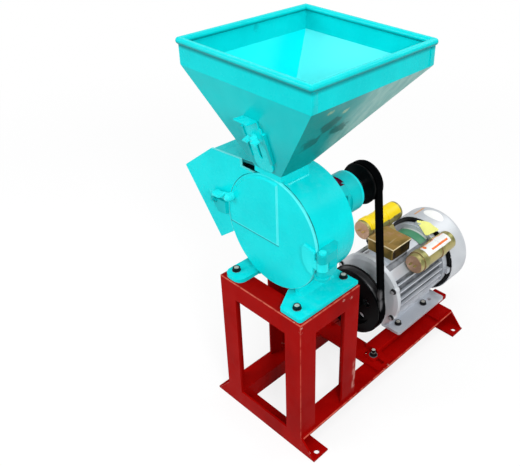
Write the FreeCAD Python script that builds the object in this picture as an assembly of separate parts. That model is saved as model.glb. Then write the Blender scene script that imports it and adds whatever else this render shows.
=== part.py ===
import FreeCAD, Part
import math
import os

os.makedirs("parts", exist_ok=True)

V = FreeCAD.Vector

# A small hammer mill on a welded angle-iron stand, belt driven by a frame-90 motor.
# X runs left to right across the front, Y from front to back, Z up.
# Lengths are millimetres. Y is measured here from the front face of the stand, and
# every piece is moved by half the base length when it is saved, so that the origin
# ends up on the floor in the middle of the four foot holes.

# Angle iron of the stand and base
angle_leg = 40.0
angle_wall = 4.0
stand_width = 214.0
stand_depth = 160.0
stand_height = 328.0
base_length = 530.0
foot_overhang = 36.0
rail_overhang = 5.0
foot_hole_radius = 5.5
foot_hole_inset = 12.0

# Mill: one axis for housing, rotor, bearings and pulley
mill_x = -6.0
drum_radius = 110.0
drum_clearance = 14.0
drum_wall = 4.0
drum_front = 46.0
drum_back = 140.0
flange_lip = 2.0
flange_depth = 6.0
door_lip = 1.5
door_thickness = 5.0
door_gap = 0.4

# Side chamber: a box turned about the mill axis direction
chamber_turn = 37.5
chamber_low_offset = (-141.0, -71.0)
chamber_top_offset = (-32.0, 121.0)
chamber_length = 151.0
chamber_height = 102.0

# Mill feet
foot_strip_in = 50.0
foot_edge = 102.0
foot_front = 4.0
foot_back = 160.0
foot_strip_thick = 8.0
foot_bolt_offset = 81.0
foot_bolt_front = 24.0
foot_bolt_pitch = 125.0

# Rotor
shaft_radius = 12.5
disc_radius = 68.0
disc_thickness = 4.0
disc_places = (64.0, 90.0, 116.0)
hammer_pin_circle = 58.0
hammer_pin_radius = 5.0
hammer_clearance = 3.0
hammer_width = 24.0
hammer_thickness = 5.0
pin_clearance = 0.08
hammer_gap = 0.3
sieve_inset = 9.0
sieve_thickness = 1.5

# Bearing housing and drive
housing_back = 249.0
lantern_flange_radius = 84.0
lantern_bolt_circle = 74.0
lantern_face = drum_back + 9.0
window_half_angle = 33.0
window_front = 158.0
window_back = 216.0
barrel_radius = 42.0
bearing_outer = 31.0
bearing_width = 15.0
pulley_front = 281.0
pulley_width = 28.0
mill_pulley_radius = 43.0
motor_pulley_radius = 79.0
belt_width = 17.0
belt_depth = 11.0
belt_rise = 1.5
belt_gap = 0.4

# Motor, frame size 90
motor_x = -12.0
motor_axis_height = 90.0
motor_hole_offset = 70.0
motor_hole_lead = 56.0
motor_hole_pitch = 100.0
motor_hole_long = 125.0
motor_core = 76.0
motor_bore = 68.0
stator_bore = 41.0
fin_radius = 87.0
shield_radius = 89.0
shield_depth = 31.0
barrel_length = 170.0
cowl_radius = 98.0
cowl_depth = 74.0
can_reach = 78.0
left_can_rise = 94.0
left_can_radius = 24.0
left_can_length = 129.0
right_can_rise = 78.0
right_can_radius = 23.0
right_can_length = 137.0

# Motor seat
cross_bar_thick = 6.0
cross_bar_depth = 50.0
cross_bar_places = (241.0, 470.0)
slide_bar_width = 34.0
slide_bar_thick = 12.0
slide_bar_length = 274.0
tongue_length = 25.0
tongue_thick = 5.0
bar_bolt_front = 267.0
bar_bolt_offset = 14.0

# Hopper
hopper_y = 135.0
hopper_half = 145.0
rim_radius = 6.0
band_height = 40.0
funnel_height = 160.0
neck_clearance = 4.0
neck_height = 10.0
sheet = 2.0
throat_x0 = -38.0
throat_x1 = 26.0
throat_y0 = 38.0
throat_y1 = 104.0

# Feed slide on the sloping front wall
slide_width = 42.0
slide_thick = 2.5
slide_start = 4.0
slide_length = 108.0
slide_tab_width = 32.0
slide_corner = 13.0
slide_clearance = 0.4

# Derived values
axis_above_stand = drum_radius + drum_clearance
flange_radius = drum_radius + flange_lip
door_radius = drum_radius + door_lip
sieve_radius = drum_radius - sieve_inset
hammer_reach = sieve_radius - hammer_pin_circle - hammer_clearance
neck_rise = drum_radius + neck_clearance
throat_rise = neck_rise + neck_height
half_width = stand_width / 2
rail_top = angle_leg
slide_bar_low = rail_top + cross_bar_thick
motor_seat_z = slide_bar_low + slide_bar_thick
motor_z = motor_seat_z + motor_axis_height
mill_seat_z = stand_height + foot_strip_thick
mill_z = stand_height + axis_above_stand
chamber_low = (mill_x + chamber_low_offset[0], mill_z + chamber_low_offset[1])
chamber_top = (mill_x + chamber_top_offset[0], mill_z + chamber_top_offset[1])
pulley_back = pulley_front + pulley_width
belt_middle = (pulley_front + pulley_back) / 2
motor_shoulder = pulley_back + 10
motor_hole_front = motor_shoulder + motor_hole_lead
barrel_front = motor_shoulder + shield_depth
barrel_back = barrel_front + barrel_length
cowl_front = barrel_back + 22
cowl_back = cowl_front + cowl_depth
slide_bar_back = barrel_back + 32
slide_bar_front = slide_bar_back - slide_bar_length
neck_low = mill_z + neck_rise
throat_z = mill_z + throat_rise
band_low = throat_z + funnel_height
rim_z = band_low + band_height
slide_low_z = throat_z + slide_start


def save(name, shape):
    """Write one piece, moved so that the origin is in the middle of the base."""
    moved = shape.copy()
    moved.translate(V(0, -base_length / 2, 0))
    if not moved.isValid():
        print("not valid:", name)
    moved.exportStep("parts/" + name + ".step")


def box(x0, x1, y0, y1, z0, z1):
    return Part.makeBox(x1 - x0, y1 - y0, z1 - z0, V(x0, y0, z0))


def cylinder_y(x, z, radius, y0, y1):
    return Part.makeCylinder(radius, y1 - y0, V(x, y0, z), V(0, 1, 0))


def cylinder_z(x, y, radius, z0, z1):
    return Part.makeCylinder(radius, z1 - z0, V(x, y, z0), V(0, 0, 1))


def tube_y(x, z, outer, inner, y0, y1):
    return cylinder_y(x, z, outer, y0, y1).cut(cylinder_y(x, z, inner, y0 - 1, y1 + 1))


def prism_y(points, y0, y1):
    """Extrude an outline given as (x, z) points along Y."""
    wire = Part.makePolygon([V(x, y0, z) for x, z in points + points[:1]])
    return Part.Face(wire).extrude(V(0, y1 - y0, 0))


def prism_x(points, x0, x1):
    """Extrude an outline given as (y, z) points along X."""
    wire = Part.makePolygon([V(x0, y, z) for y, z in points + points[:1]])
    return Part.Face(wire).extrude(V(x1 - x0, 0, 0))


def prism_z(points, z0, z1):
    """Extrude an outline given as (x, y) points along Z."""
    wire = Part.makePolygon([V(x, y, z0) for x, y in points + points[:1]])
    return Part.Face(wire).extrude(V(0, 0, z1 - z0))


def turned_y(points, x, z):
    """Revolve a profile of (radius, y) points about the line along Y at x, z."""
    wire = Part.makePolygon([V(x + r, y, z) for r, y in points + points[:1]])
    return Part.Face(wire).revolve(V(x, 0, z), V(0, 1, 0), 360)


def hexagon_z(x, y, across, z0, z1):
    radius = across / math.sqrt(3)
    corners = [around(x, y, radius, 60 * i) for i in range(6)]
    return prism_z(corners, z0, z1)


def hexagon_y(x, z, across, y0, y1):
    radius = across / math.sqrt(3)
    corners = [around(x, z, radius, 60 * i) for i in range(6)]
    return prism_y(corners, y0, y1)


def slot_x(x0, x1, y, radius, z0, z1):
    """A slot along X with round ends, as a cutting tool."""
    body = box(x0 + radius, x1 - radius, y - radius, y + radius, z0, z1)
    ends = [cylinder_z(x, y, radius, z0, z1) for x in (x0 + radius, x1 - radius)]
    return body.fuse(ends)


def fused(shapes):
    return shapes[0].fuse(list(shapes[1:])).removeSplitter()


def around(cx, cz, radius, angle):
    """The point at an angle in degrees on a circle."""
    a = math.radians(angle)
    return cx + radius * math.cos(a), cz + radius * math.sin(a)


def arc_points(cx, cz, radius, start, end, steps):
    """Points on an arc in the XZ plane, in degrees."""
    return [around(cx, cz, radius, start + (end - start) * i / steps) for i in range(steps + 1)]


def sector(radius, start, end, y0, y1):
    """A pie slice about the mill axis, used to keep or cut part of a ring."""
    points = [(mill_x, mill_z)] + arc_points(mill_x, mill_z, radius, start, end, 16)
    return prism_y(points, y0, y1)


# Stand and base, all of equal angle iron

def stand_leg(side_x, side_y):
    """side_x is -1 left or 1 right, side_y is 0 front or 1 rear."""
    x0 = side_x * half_width
    y0 = side_y * stand_depth
    into_y = 1 if side_y == 0 else -1
    points = [(x0, y0), (x0 - side_x * angle_leg, y0), (x0 - side_x * angle_leg, y0 + into_y * angle_wall),
              (x0 - side_x * angle_wall, y0 + into_y * angle_wall),
              (x0 - side_x * angle_wall, y0 + into_y * angle_leg), (x0, y0 + into_y * angle_leg)]
    return prism_z(points, rail_top, stand_height - angle_leg)


def stand_top_frame():
    """Four rails mitred into one rectangle, drilled for the mill's foot bolts."""
    outer = box(-half_width, half_width, 0, stand_depth, stand_height - angle_leg, stand_height)
    hollow = box(-half_width + angle_wall, half_width - angle_wall, angle_wall, stand_depth - angle_wall,
                 stand_height - angle_leg, stand_height - angle_wall)
    window = box(-half_width + angle_leg, half_width - angle_leg, angle_leg, stand_depth - angle_leg,
                 stand_height - angle_leg, stand_height)
    frame = outer.cut(hollow).cut(window)
    for x, y in mill_bolt_places():
        frame = frame.cut(cylinder_z(x, y, 4.5, stand_height - angle_leg, stand_height + 1))
    return frame


def base_rail(side):
    """Wall of the angle down its inner side, flange on top reaching out past the legs."""
    inner = side * (half_width - angle_leg)
    outer = side * (half_width + rail_overhang)
    web = inner + side * angle_wall
    y0 = angle_wall
    y1 = base_length - angle_wall
    wall = box(min(inner, web), max(inner, web), y0, y1, 0, angle_leg)
    flange = box(min(inner, outer), max(inner, outer), y0, y1, angle_leg - angle_wall, angle_leg)
    rail = wall.fuse(flange).removeSplitter()
    return rail.cut(cross_foot(0)).cut(cross_foot(1))


def cross_foot(rear):
    """Ground flange with the foot holes, and an upright wall with slanted ends."""
    reach = half_width + foot_overhang
    outline = [(-reach, 0), (reach, 0), (half_width, angle_leg), (-half_width, angle_leg)]
    wall = prism_y(outline, 0, angle_wall)
    flange = box(-reach, reach, 0, angle_leg, 0, angle_wall)
    foot = wall.fuse(flange).removeSplitter()
    for side in (-1, 1):
        x = side * (reach - foot_hole_inset)
        foot = foot.cut(cylinder_z(x, angle_leg / 2, foot_hole_radius, -1, angle_wall + 1))
    if rear:
        foot = foot.mirror(V(0, base_length / 2, 0), V(0, 1, 0))
    return foot


def cross_bar(front):
    """Flat bar across the base rails, slotted so that the motor can be lined up."""
    bar = box(-half_width, half_width, front, front + cross_bar_depth, rail_top, slide_bar_low)
    if front == cross_bar_places[0]:
        for side, x in stud_places():
            ends = sorted((x - side * 22, side * (half_width - 5)))
            bar = bar.cut(slot_x(ends[0], ends[1], bar_bolt_front, 4.5, rail_top - 1, slide_bar_low + 1))
    return bar


def motor_bar_centres():
    return [motor_x - motor_hole_offset, motor_x + motor_hole_offset]


def stud_places():
    """Side and x of the two studs in the slotted bar, a little outside the slide bars."""
    left, right = motor_bar_centres()
    return [(-1, left - bar_bolt_offset), (1, right + bar_bolt_offset)]


def slide_bar(side):
    """Bar under one row of motor feet, with a thin tongue at the front for its stud."""
    half = slide_bar_width / 2
    centre = motor_x + side * motor_hole_offset
    bar = box(centre - half, centre + half, slide_bar_front, slide_bar_back, slide_bar_low, motor_seat_z)
    bar = bar.makeChamfer(1.5, [e for e in bar.Edges if abs(e.Vertexes[0].Y - e.Vertexes[1].Y) > 1
                                and e.CenterOfMass.z > motor_seat_z - 1])
    stud_x = centre + side * bar_bolt_offset
    ends = sorted((centre, stud_x + side * 12))
    tongue = box(ends[0], ends[1], slide_bar_front - tongue_length, slide_bar_front + 1,
                 slide_bar_low, slide_bar_low + tongue_thick)
    tongue = tongue.cut(cylinder_z(stud_x, bar_bolt_front, 4.2, slide_bar_low - 1, motor_seat_z + 1))
    bar = fused([bar, tongue])
    for y in motor_screw_places():
        bar = bar.cut(cylinder_z(centre, y, 4.0, slide_bar_low - 1, motor_seat_z + 1))
    return bar


def motor_screw_places():
    return [motor_hole_front, motor_hole_front + motor_hole_pitch]


def slide_bar_studs():
    """Stud, washer and nut that clamp each slide bar's tongue to the slotted cross bar."""
    found = []
    seat = slide_bar_low + tongue_thick
    for side, x in stud_places():
        stud = cylinder_z(x, bar_bolt_front, 4.0, rail_top, seat + 16)
        washer = cylinder_z(x, bar_bolt_front, 9.5, seat, seat + 1.6)
        nut = hexagon_z(x, bar_bolt_front, 13, seat + 1.6, seat + 8)
        found.append(fused([stud, washer, nut]))
    return found


# Mill housing

def chamber_corners():
    """The side chamber's outline: low corner, left corner, top corner, then along the top."""
    a = math.radians(chamber_turn)
    along = (-math.sin(a), math.cos(a))
    across = (math.cos(a), math.sin(a))
    low = chamber_low
    left = (low[0] + along[0] * chamber_length, low[1] + along[1] * chamber_length)
    top = (left[0] + across[0] * chamber_height, left[1] + across[1] * chamber_height)
    reach = 2 * drum_radius / 3
    inner = (low[0] + across[0] * reach, low[1] + across[1] * reach)
    edge = (chamber_top[0], mill_z + drum_radius - 12)
    return [low, left, top, chamber_top, edge, (mill_x, mill_z), inner]


def inset(points, wall, y):
    """The same outline moved inward by the wall."""
    wire = Part.makePolygon([V(x, y, z) for x, z in points + points[:1]])
    return Part.Face(wire).makeOffset2D(-wall)


def housing_outline(y0, y1, radius):
    return fused([prism_y(chamber_corners(), y0, y1), cylinder_y(mill_x, mill_z, radius, y0, y1)])


def housing_wall():
    """Drum and side chamber bent from one strip, with a turned front flange and sieve ledges."""
    back = drum_back - drum_wall
    solid = housing_outline(drum_front, back, drum_radius)
    bore = drum_radius - drum_wall
    hollow_chamber = inset(chamber_corners(), drum_wall, drum_front - 1)
    hollow_chamber = hollow_chamber.extrude(V(0, back - drum_front + 2, 0))
    hollow_drum = cylinder_y(mill_x, mill_z, bore, drum_front - 1, back + 1)
    wall = solid.cut(hollow_chamber).cut(hollow_drum)
    flange = tube_y(mill_x, mill_z, flange_radius, bore, drum_front, drum_front + flange_depth)
    flange = flange.common(sector(2 * drum_radius, -145, 95, drum_front - 1, back))
    ledge = tube_y(mill_x, mill_z, bore + 1, sieve_radius + sieve_thickness, 0, 5)
    ledge = ledge.common(sector(2 * drum_radius, -172, -8, -1, 6))
    ledges = []
    for place in (drum_front + 2, back - 7):
        copy = ledge.copy()
        copy.translate(V(0, place, 0))
        ledges.append(copy)
    wall = fused([wall, flange] + ledges)
    outlet = box(mill_x - 46, mill_x + 46, drum_front + 14, back - 14, mill_z - 120, mill_z - 92)
    inlet = box(throat_x0 + sheet, throat_x1 - sheet, drum_front + 6, throat_y1 - sheet,
                mill_z + 90, mill_z + 125)
    return wall.cut(outlet).cut(inlet)


def back_plate():
    """Flat rear wall of drum and chamber, bored for the shaft."""
    plate = housing_outline(drum_back - drum_wall, drum_back, drum_radius)
    plate = plate.cut(cylinder_y(mill_x, mill_z, 30, drum_back - 10, drum_back + 1))
    for angle in pin_angles():
        x, z = around(mill_x, mill_z, lantern_bolt_circle, angle)
        plate = plate.cut(cylinder_y(x, z, 4.2, drum_back - 10, drum_back + 1))
    return plate


def chamber_cover():
    """Front plate of the side chamber, flush with the door, notched under the hopper neck."""
    front = drum_front - door_thickness
    grown = inset(chamber_corners(), -2.0, front).extrude(V(0, door_thickness, 0))
    plate = grown.cut(cylinder_y(mill_x, mill_z, door_radius + 0.8, front - 1, drum_front + 1))
    notch = box(mill_x - 73, mill_x + 16, front - 1, drum_front + 1, mill_z + 105, mill_z + 150)
    below = box(mill_x - 84, mill_x + 200, front - 1, drum_front + 1, mill_z - 150, mill_z + 48)
    return plate.cut(notch).cut(below)


def foot(side):
    """Bolted plate with round front corners, bent up to the drum. The right one spreads under the drum."""
    inner = mill_x + side * foot_strip_in
    outer = side * foot_edge
    nose = inner + side * 8
    if side > 0:
        spread = inner - 18
        outline = [(nose, foot_front), (outer, foot_front), (outer, foot_back), (spread, foot_back)]
        outline.append((spread, drum_front + 4))
        corner_radius = 6.0
    else:
        outline = [(inner, foot_front), (outer, foot_front), (outer, foot_back), (inner, foot_back)]
        corner_radius = 16.0
    strip = prism_z(outline, stand_height, mill_seat_z)
    corner = [e for e in strip.Edges if abs(e.Vertexes[0].Z - e.Vertexes[1].Z) > 1
              and e.CenterOfMass.y < foot_front + 1]
    strip = strip.makeFillet(corner_radius, corner)
    root = 18.0
    wall_x = inner - side * 2
    lean = mill_x + side * 66
    bend = [(wall_x, -foot_strip_thick), (inner + side * root, 0), (inner + side * 7, 6), (inner + side * 4, 14)]
    rise = [(lean, 34), (lean - side * 20, 40), (wall_x, 10)]
    section = [(x, mill_seat_z + up) for x, up in bend + rise]
    web = prism_y(section, drum_front + flange_depth + 1, drum_back - 2)
    body = fused([strip, web]).cut(cylinder_y(mill_x, mill_z, drum_radius, 0, 200))
    body = body.cut(cylinder_y(mill_x, mill_z, flange_radius, 0, drum_front + flange_depth))
    for y in (foot_bolt_front, foot_bolt_front + foot_bolt_pitch):
        x = mill_x + side * foot_bolt_offset
        body = body.cut(cylinder_z(x, y, 4.5, stand_height - 1, mill_seat_z + 1))
    return body


def mill_bolt_places():
    return [(mill_x + side * foot_bolt_offset, y) for side in (-1, 1)
            for y in (foot_bolt_front, foot_bolt_front + foot_bolt_pitch)]


def mill_foot_bolts():
    """Hexagon bolts with washers through the feet and the stand's top frame, nuts below."""
    found = []
    for x, y in mill_bolt_places():
        head = hexagon_z(x, y, 13, mill_seat_z + 1.6, mill_seat_z + 7)
        washer = cylinder_z(x, y, 8.5, mill_seat_z, mill_seat_z + 1.6)
        shank = cylinder_z(x, y, 4.0, stand_height - 16, mill_seat_z + 2)
        nut = hexagon_z(x, y, 13, stand_height - angle_wall - 6.5, stand_height - angle_wall)
        found.append(fused([head, washer, shank, nut]))
    return found


def toothed_liner():
    """Cast liner on the rising side of the drum, with saw teeth that the grain is thrown against."""
    outer = drum_radius - drum_wall
    points = arc_points(mill_x, mill_z, outer, 4, 66, 31)
    teeth = 12
    inner = []
    for i in range(teeth):
        start = 66 - 62 * i / teeth
        end = 66 - 62 * (i + 1) / teeth
        inner.append(around(mill_x, mill_z, outer - 2.5, start))
        inner.append(around(mill_x, mill_z, outer - 5.5, end))
    return prism_y(points + inner, drum_front + 8, drum_back - drum_wall - 8)


def sieve():
    """Curved screen under the rotor, resting on the two ledges."""
    y0 = drum_front + 2
    y1 = drum_back - drum_wall - 2
    ring = tube_y(mill_x, mill_z, sieve_radius + sieve_thickness, sieve_radius, y0, y1)
    screen = ring.common(sector(2 * drum_radius, -170, -10, y0 - 1, y1 + 1))
    inner = sieve_radius - 11
    holes = []
    for row in range(4):
        for column in range(15):
            angle = math.radians(-153 + 9 * column + (4.5 if row % 2 else 0))
            y = y0 + 16 + row * (y1 - y0 - 32) / 3
            start = V(mill_x + inner * math.cos(angle), y, mill_z + inner * math.sin(angle))
            holes.append(Part.makeCylinder(3.0, 20, start, V(math.cos(angle), 0, math.sin(angle))))
    return screen.cut(Part.makeCompound(holes))


# Door, hinge and latch

hinge_x = mill_x + door_radius + 10.5
hinge_y = drum_front - 2.0
hinge_low = mill_z - 37.0
hinge_high = mill_z + 13.0
hinge_third = (hinge_high - hinge_low) / 3
hinge_pin_radius = 4.0
knuckle_radius = 10.0
collar_radius = 14.0
knuckle_gap = 0.3


def door_plate():
    """Round front door with a dished edge."""
    front = drum_front - door_thickness
    plate = cylinder_y(mill_x, mill_z, door_radius, front, drum_front - door_gap)
    rim = [e for e in plate.Edges if e.Closed and e.CenterOfMass.y < front + 0.1]
    return plate.makeFillet(2.0, rim)


def door_panel():
    """Raised quarter of the door: a second sheet welded on, its two straight edges bevelled."""
    front = drum_front - door_thickness
    outline = [(mill_x + 20, mill_z - 20)] + arc_points(mill_x, mill_z, door_radius - 5.5, 79, 191, 24)
    wire = Part.makePolygon([V(x, front, z) for x, z in outline + outline[:1]])
    smaller = Part.Face(wire).makeOffset2D(-3.0)
    smaller.translate(V(0, -3.0, 0))
    panel = Part.makeLoft([wire, smaller.OuterWire], True, True)
    return panel.cut(cylinder_y(latch_x, latch_z, latch_collar, front - 10, front + 1))


def knuckle(z0, z1):
    ring = cylinder_z(hinge_x, hinge_y, knuckle_radius, z0, z1)
    return ring.cut(cylinder_z(hinge_x, hinge_y, hinge_pin_radius + 0.05, z0 - 1, z1 + 1))


def door_hinge_leaf():
    """Middle knuckle and the wing-shaped leaf welded on the door's face."""
    front = drum_front - door_thickness
    z0 = hinge_low + hinge_third + knuckle_gap
    z1 = hinge_high - hinge_third - knuckle_gap
    wing = [(12, z1), (12, hinge_high - 2), (38, hinge_high + 3), (42, hinge_high - 3)]
    wing += [(41, hinge_low + 26), (36, hinge_low + 13), (27, hinge_low + 4), (16, hinge_low), (16, z0)]
    outline = [(0, z0), (0, z1)] + wing
    leaf = prism_y([(hinge_x - reach, z) for reach, z in outline], front - 4.5, front)
    hole = cylinder_z(hinge_x, hinge_y, hinge_pin_radius + 0.05, z0 - 20, z1 + 20)
    return fused([knuckle(z0, z1), leaf.cut(hole)])


def body_hinge_leaf():
    """Upper and lower knuckles on a rounded wing that wraps the side of the drum."""
    outer = hinge_x + knuckle_radius
    inner = hinge_x - 26
    back = drum_front + 46
    tail = [(outer - 2, drum_front + 26), (hinge_x - 8, back), (inner, back)]
    pieces = [cylinder_z(hinge_x, hinge_y, collar_radius, hinge_low, hinge_low + 5)]
    for z0 in (hinge_low, hinge_high - hinge_third):
        z1 = z0 + hinge_third
        root = [(hinge_x - knuckle_radius, hinge_y), (outer, hinge_y)]
        flush = [(inner, drum_front + 1), (hinge_x - knuckle_radius, drum_front + 1)]
        pieces += [knuckle(z0, z1), prism_z(root + tail + flush, z0, z1)]
    web = [(hinge_x + 3, drum_front + 12)] + tail + [(inner, drum_front + 12)]
    leaf = fused(pieces + [prism_z(web, hinge_low, hinge_high)])
    wing = [(-20, hinge_low - 1), (10, hinge_low - 1), (22, hinge_low + 4), (34, hinge_low + 14)]
    wing += [(42, hinge_low + 28), (42, hinge_high + 1), (-20, hinge_high + 1)]
    leaf = leaf.common(prism_x([(drum_front + along, z) for along, z in wing], inner - 1, outer + 10))
    leaf = leaf.cut(cylinder_z(hinge_x, hinge_y, hinge_pin_radius + 0.05, hinge_low - 1, hinge_high + 1))
    leaf = leaf.cut(cylinder_y(mill_x, mill_z, flange_radius, 0, drum_front + flange_depth))
    leaf = leaf.cut(cylinder_y(mill_x, mill_z, drum_radius, 0, 200))
    z0 = hinge_low + hinge_third
    z1 = hinge_high - hinge_third
    return leaf.cut(cylinder_z(hinge_x, hinge_y, knuckle_radius + 1.5, z0, z1))


def hinge_pin():
    pin = cylinder_z(hinge_x, hinge_y, hinge_pin_radius, hinge_low - 3, hinge_high)
    head = cylinder_z(hinge_x, hinge_y, 6.5, hinge_high, hinge_high + 3)
    return fused([pin, head])


latch_x = mill_x - 98.0
latch_z = mill_z + 36.0
latch_collar = 8.0
keeper_x = mill_x - 146.0
keeper_z = mill_z + 11.9
latch_front = drum_front - door_thickness - 9.0


def latch_pivot():
    """Round-headed pivot screw welded to the door near its edge."""
    front = drum_front - door_thickness
    neck = cylinder_y(latch_x, latch_z, 4.0, latch_front - 6, front)
    collar = cylinder_y(latch_x, latch_z, latch_collar, latch_front + 5.3, front)
    dome = [(0, -11), (4.5, -9.5), (7.2, -5), (7.2, -0.3), (0, -0.3)]
    head = turned_y([(radius, latch_front + y) for radius, y in dome], latch_x, latch_z)
    return fused([neck, collar, head])


def latch_bar():
    """Flat bar that turns on the door and drops over the keeper, with a thumb wing."""
    end = (mill_x - 154.0, mill_z + 23.0)
    dx = end[0] - latch_x
    dz = end[1] - latch_z
    size = math.hypot(dx, dz)
    ux, uz = dx / size, dz / size
    half = 6.0
    corners = [(latch_x - uz * half, latch_z + ux * half), (latch_x + uz * half, latch_z - ux * half),
               (end[0] + uz * half, end[1] - ux * half), (end[0] - uz * half, end[1] + ux * half)]
    bar = prism_y(corners, latch_front, latch_front + 5)
    eye = cylinder_y(latch_x, latch_z, 8.0, latch_front, latch_front + 5)
    wing_x = latch_x + ux * 26
    wing_z = latch_z + uz * 26
    wing = box(wing_x - 11, wing_x + 11, latch_front - 14, latch_front + 3, wing_z + 3, wing_z + 7)
    wing = wing.makeFillet(6, [e for e in wing.Edges if abs(e.Vertexes[0].Z - e.Vertexes[1].Z) > 1
                               and e.CenterOfMass.y < latch_front - 10])
    solid = fused([bar, eye, wing])
    return solid.cut(cylinder_y(latch_x, latch_z, 4.05, latch_front - 20, latch_front + 20))


def latch_keeper():
    """Raised plate on the chamber cover with the keeper stud and its nut."""
    front = drum_front - door_thickness
    corners = [(-12, 2.1), (30, 4.1), (31, -20.9), (9, -23.9)]
    plate = prism_y([(keeper_x + x, keeper_z + z) for x, z in corners], front - 6, front)
    stud = cylinder_y(keeper_x, keeper_z, 3.0, latch_front - 4, front - 5)
    nut = hexagon_y(keeper_x, keeper_z, 11, latch_front, front - 5.9)
    return fused([plate, stud, nut])


# Rotor

def rotor_shaft():
    """Stepped shaft from the chamber through both bearings to the pulley."""
    end = pulley_back + 3
    steps = [(0, 54), (9, 54), (10, 55), (10, 60), (shaft_radius, 60), (shaft_radius, end), (0, end)]
    shaft = turned_y(steps, mill_x, mill_z)
    key_seat = box(mill_x - 4, mill_x + 4, pulley_front + 2, pulley_back + 4, mill_z + 8.5, mill_z + 14)
    return shaft.cut(key_seat)


def rotor_lock_nut():
    nut = hexagon_y(mill_x, mill_z, 32, 55.5, 63.5)
    nut = nut.cut(cylinder_y(mill_x, mill_z, 10, 50, 60.05))
    return nut.cut(cylinder_y(mill_x, mill_z, shaft_radius, 60, 70))


def pin_angles():
    return [45, 135, 225, 315]


def pin_place(angle):
    return around(mill_x, mill_z, hammer_pin_circle, angle)


def rotor_discs():
    """Three plates on one hub, drilled for the four hammer pins."""
    hub = cylinder_y(mill_x, mill_z, 22, disc_places[0] - 0.5, disc_places[2] + disc_thickness + 4)
    discs = [cylinder_y(mill_x, mill_z, disc_radius, y, y + disc_thickness) for y in disc_places]
    rotor = fused([hub] + discs).cut(cylinder_y(mill_x, mill_z, shaft_radius, 50, 140))
    for angle in pin_angles():
        x, z = pin_place(angle)
        rotor = rotor.cut(cylinder_y(x, z, hammer_pin_radius, 50, 140))
        lobe = angle + 45
        scoop_x, scoop_z = around(mill_x, mill_z, disc_radius + 14, lobe)
        rotor = rotor.cut(cylinder_y(scoop_x, scoop_z, 26, 50, 140))
    return rotor


def hammer_places():
    """Front faces of the hammers on one pin: two in each space between the discs."""
    found = []
    for y in disc_places[:2]:
        first = y + disc_thickness
        space = disc_places[1] - first if y == disc_places[0] else disc_places[2] - first
        collar = (space - 2 * hammer_thickness) / 3
        found += [first + collar, first + 2 * collar + hammer_thickness]
    return found


def hammer_pins():
    """Pins with collars that keep the hammers apart."""
    found = []
    places = hammer_places()
    for angle in pin_angles():
        x, z = pin_place(angle)
        back = disc_places[2] + disc_thickness
        pin = cylinder_y(x, z, hammer_pin_radius, disc_places[0] - 3, back + 3)
        collars = cylinder_y(x, z, 8.5, disc_places[0] + disc_thickness, disc_places[2])
        collars = collars.cut(cylinder_y(x, z, 20, disc_places[1], disc_places[1] + disc_thickness))
        for y in places:
            collars = collars.cut(cylinder_y(x, z, 20, y - hammer_gap, y + hammer_thickness + hammer_gap))
        found.append(fused([pin, collars]))
    return found


def hammers(angle):
    """The four beaters of one pin, hanging straight down, each with a stepped striking end."""
    x, z = pin_place(angle)
    half = hammer_width / 2
    shoulder = hammer_reach - 9
    left = [(-half, 0), (-half, shoulder), (-half + 4, shoulder), (-half + 4, hammer_reach)]
    outline = left + [(-across, down) for across, down in reversed(left)]
    placed = [(x + across, z - down) for across, down in outline]
    hole = hammer_pin_radius + pin_clearance
    found = []
    for y in hammer_places():
        y1 = y + hammer_thickness
        blade = fused([prism_y(placed, y, y1), cylinder_y(x, z, half, y, y1)])
        found.append(blade.cut(cylinder_y(x, z, hole, y - 1, y1 + 1)))
    return found


# Bearing housing and mill pulley

seat_front = 206.0
seat_wall = 38.0


def lantern_window(angle, start, back):
    """Cutting tool for one window: a wedge with round corners, from a start radius outward."""
    slope = math.tan(math.radians(window_half_angle))
    end = 70.0
    corners = [(start, -start * slope), (end, -end * slope), (end, end * slope), (start, start * slope)]
    window = prism_y(corners, window_front, back)
    window = window.makeFillet(8, [e for e in window.Edges if abs(e.Vertexes[0].X - e.Vertexes[1].X) > 1])
    window.rotate(V(0, 0, 0), V(0, 1, 0), -angle)
    window.translate(V(mill_x, 0, mill_z))
    return window


def bearing_housing():
    """Cast lantern: bolted flange, open cone with four windows, and the bearing barrel."""
    outside = [(30, drum_back), (lantern_flange_radius, drum_back), (lantern_flange_radius, lantern_face)]
    outside += [(64, lantern_face), (60, lantern_face + 4), (46, 210), (barrel_radius, 214)]
    outside += [(barrel_radius, housing_back - 5), (bearing_outer, housing_back - 5)]
    inside = [(bearing_outer, 229), (26, 229), (26, 222), (bearing_outer, 222), (bearing_outer, seat_front)]
    inside += [(seat_wall, seat_front), (52, drum_back + 14), (30, drum_back + 10)]
    body = turned_y(outside + inside, mill_x, mill_z)
    for angle in (0, 90, 180, 270):
        body = body.cut(lantern_window(angle, 20.0, seat_front))
        body = body.cut(lantern_window(angle, seat_wall, window_back))
    for angle in pin_angles():
        x, z = around(mill_x, mill_z, lantern_bolt_circle, angle)
        body = body.cut(cylinder_y(x, z, 4.2, drum_back - 1, lantern_face + 1))
    return body


def housing_screws():
    found = []
    for angle in pin_angles():
        x, z = around(mill_x, mill_z, lantern_bolt_circle, angle)
        shank = cylinder_y(x, z, 4.0, drum_back - drum_wall, lantern_face + 1)
        head = hexagon_y(x, z, 13, lantern_face, lantern_face + 6)
        found.append(fused([shank, head]))
    return found


def bearing(y0):
    """Ball bearing drawn as two rings and its shield."""
    y1 = y0 + bearing_width
    bore = shaft_radius + 0.05
    front = [(bore, y0), (18, y0), (18, y0 + 1), (25.5, y0 + 1), (25.5, y0), (bearing_outer, y0)]
    back = [(bearing_outer, y1), (25.5, y1), (25.5, y1 - 1), (18, y1 - 1), (18, y1), (bore, y1)]
    return turned_y(front + back, mill_x, mill_z)


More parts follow.
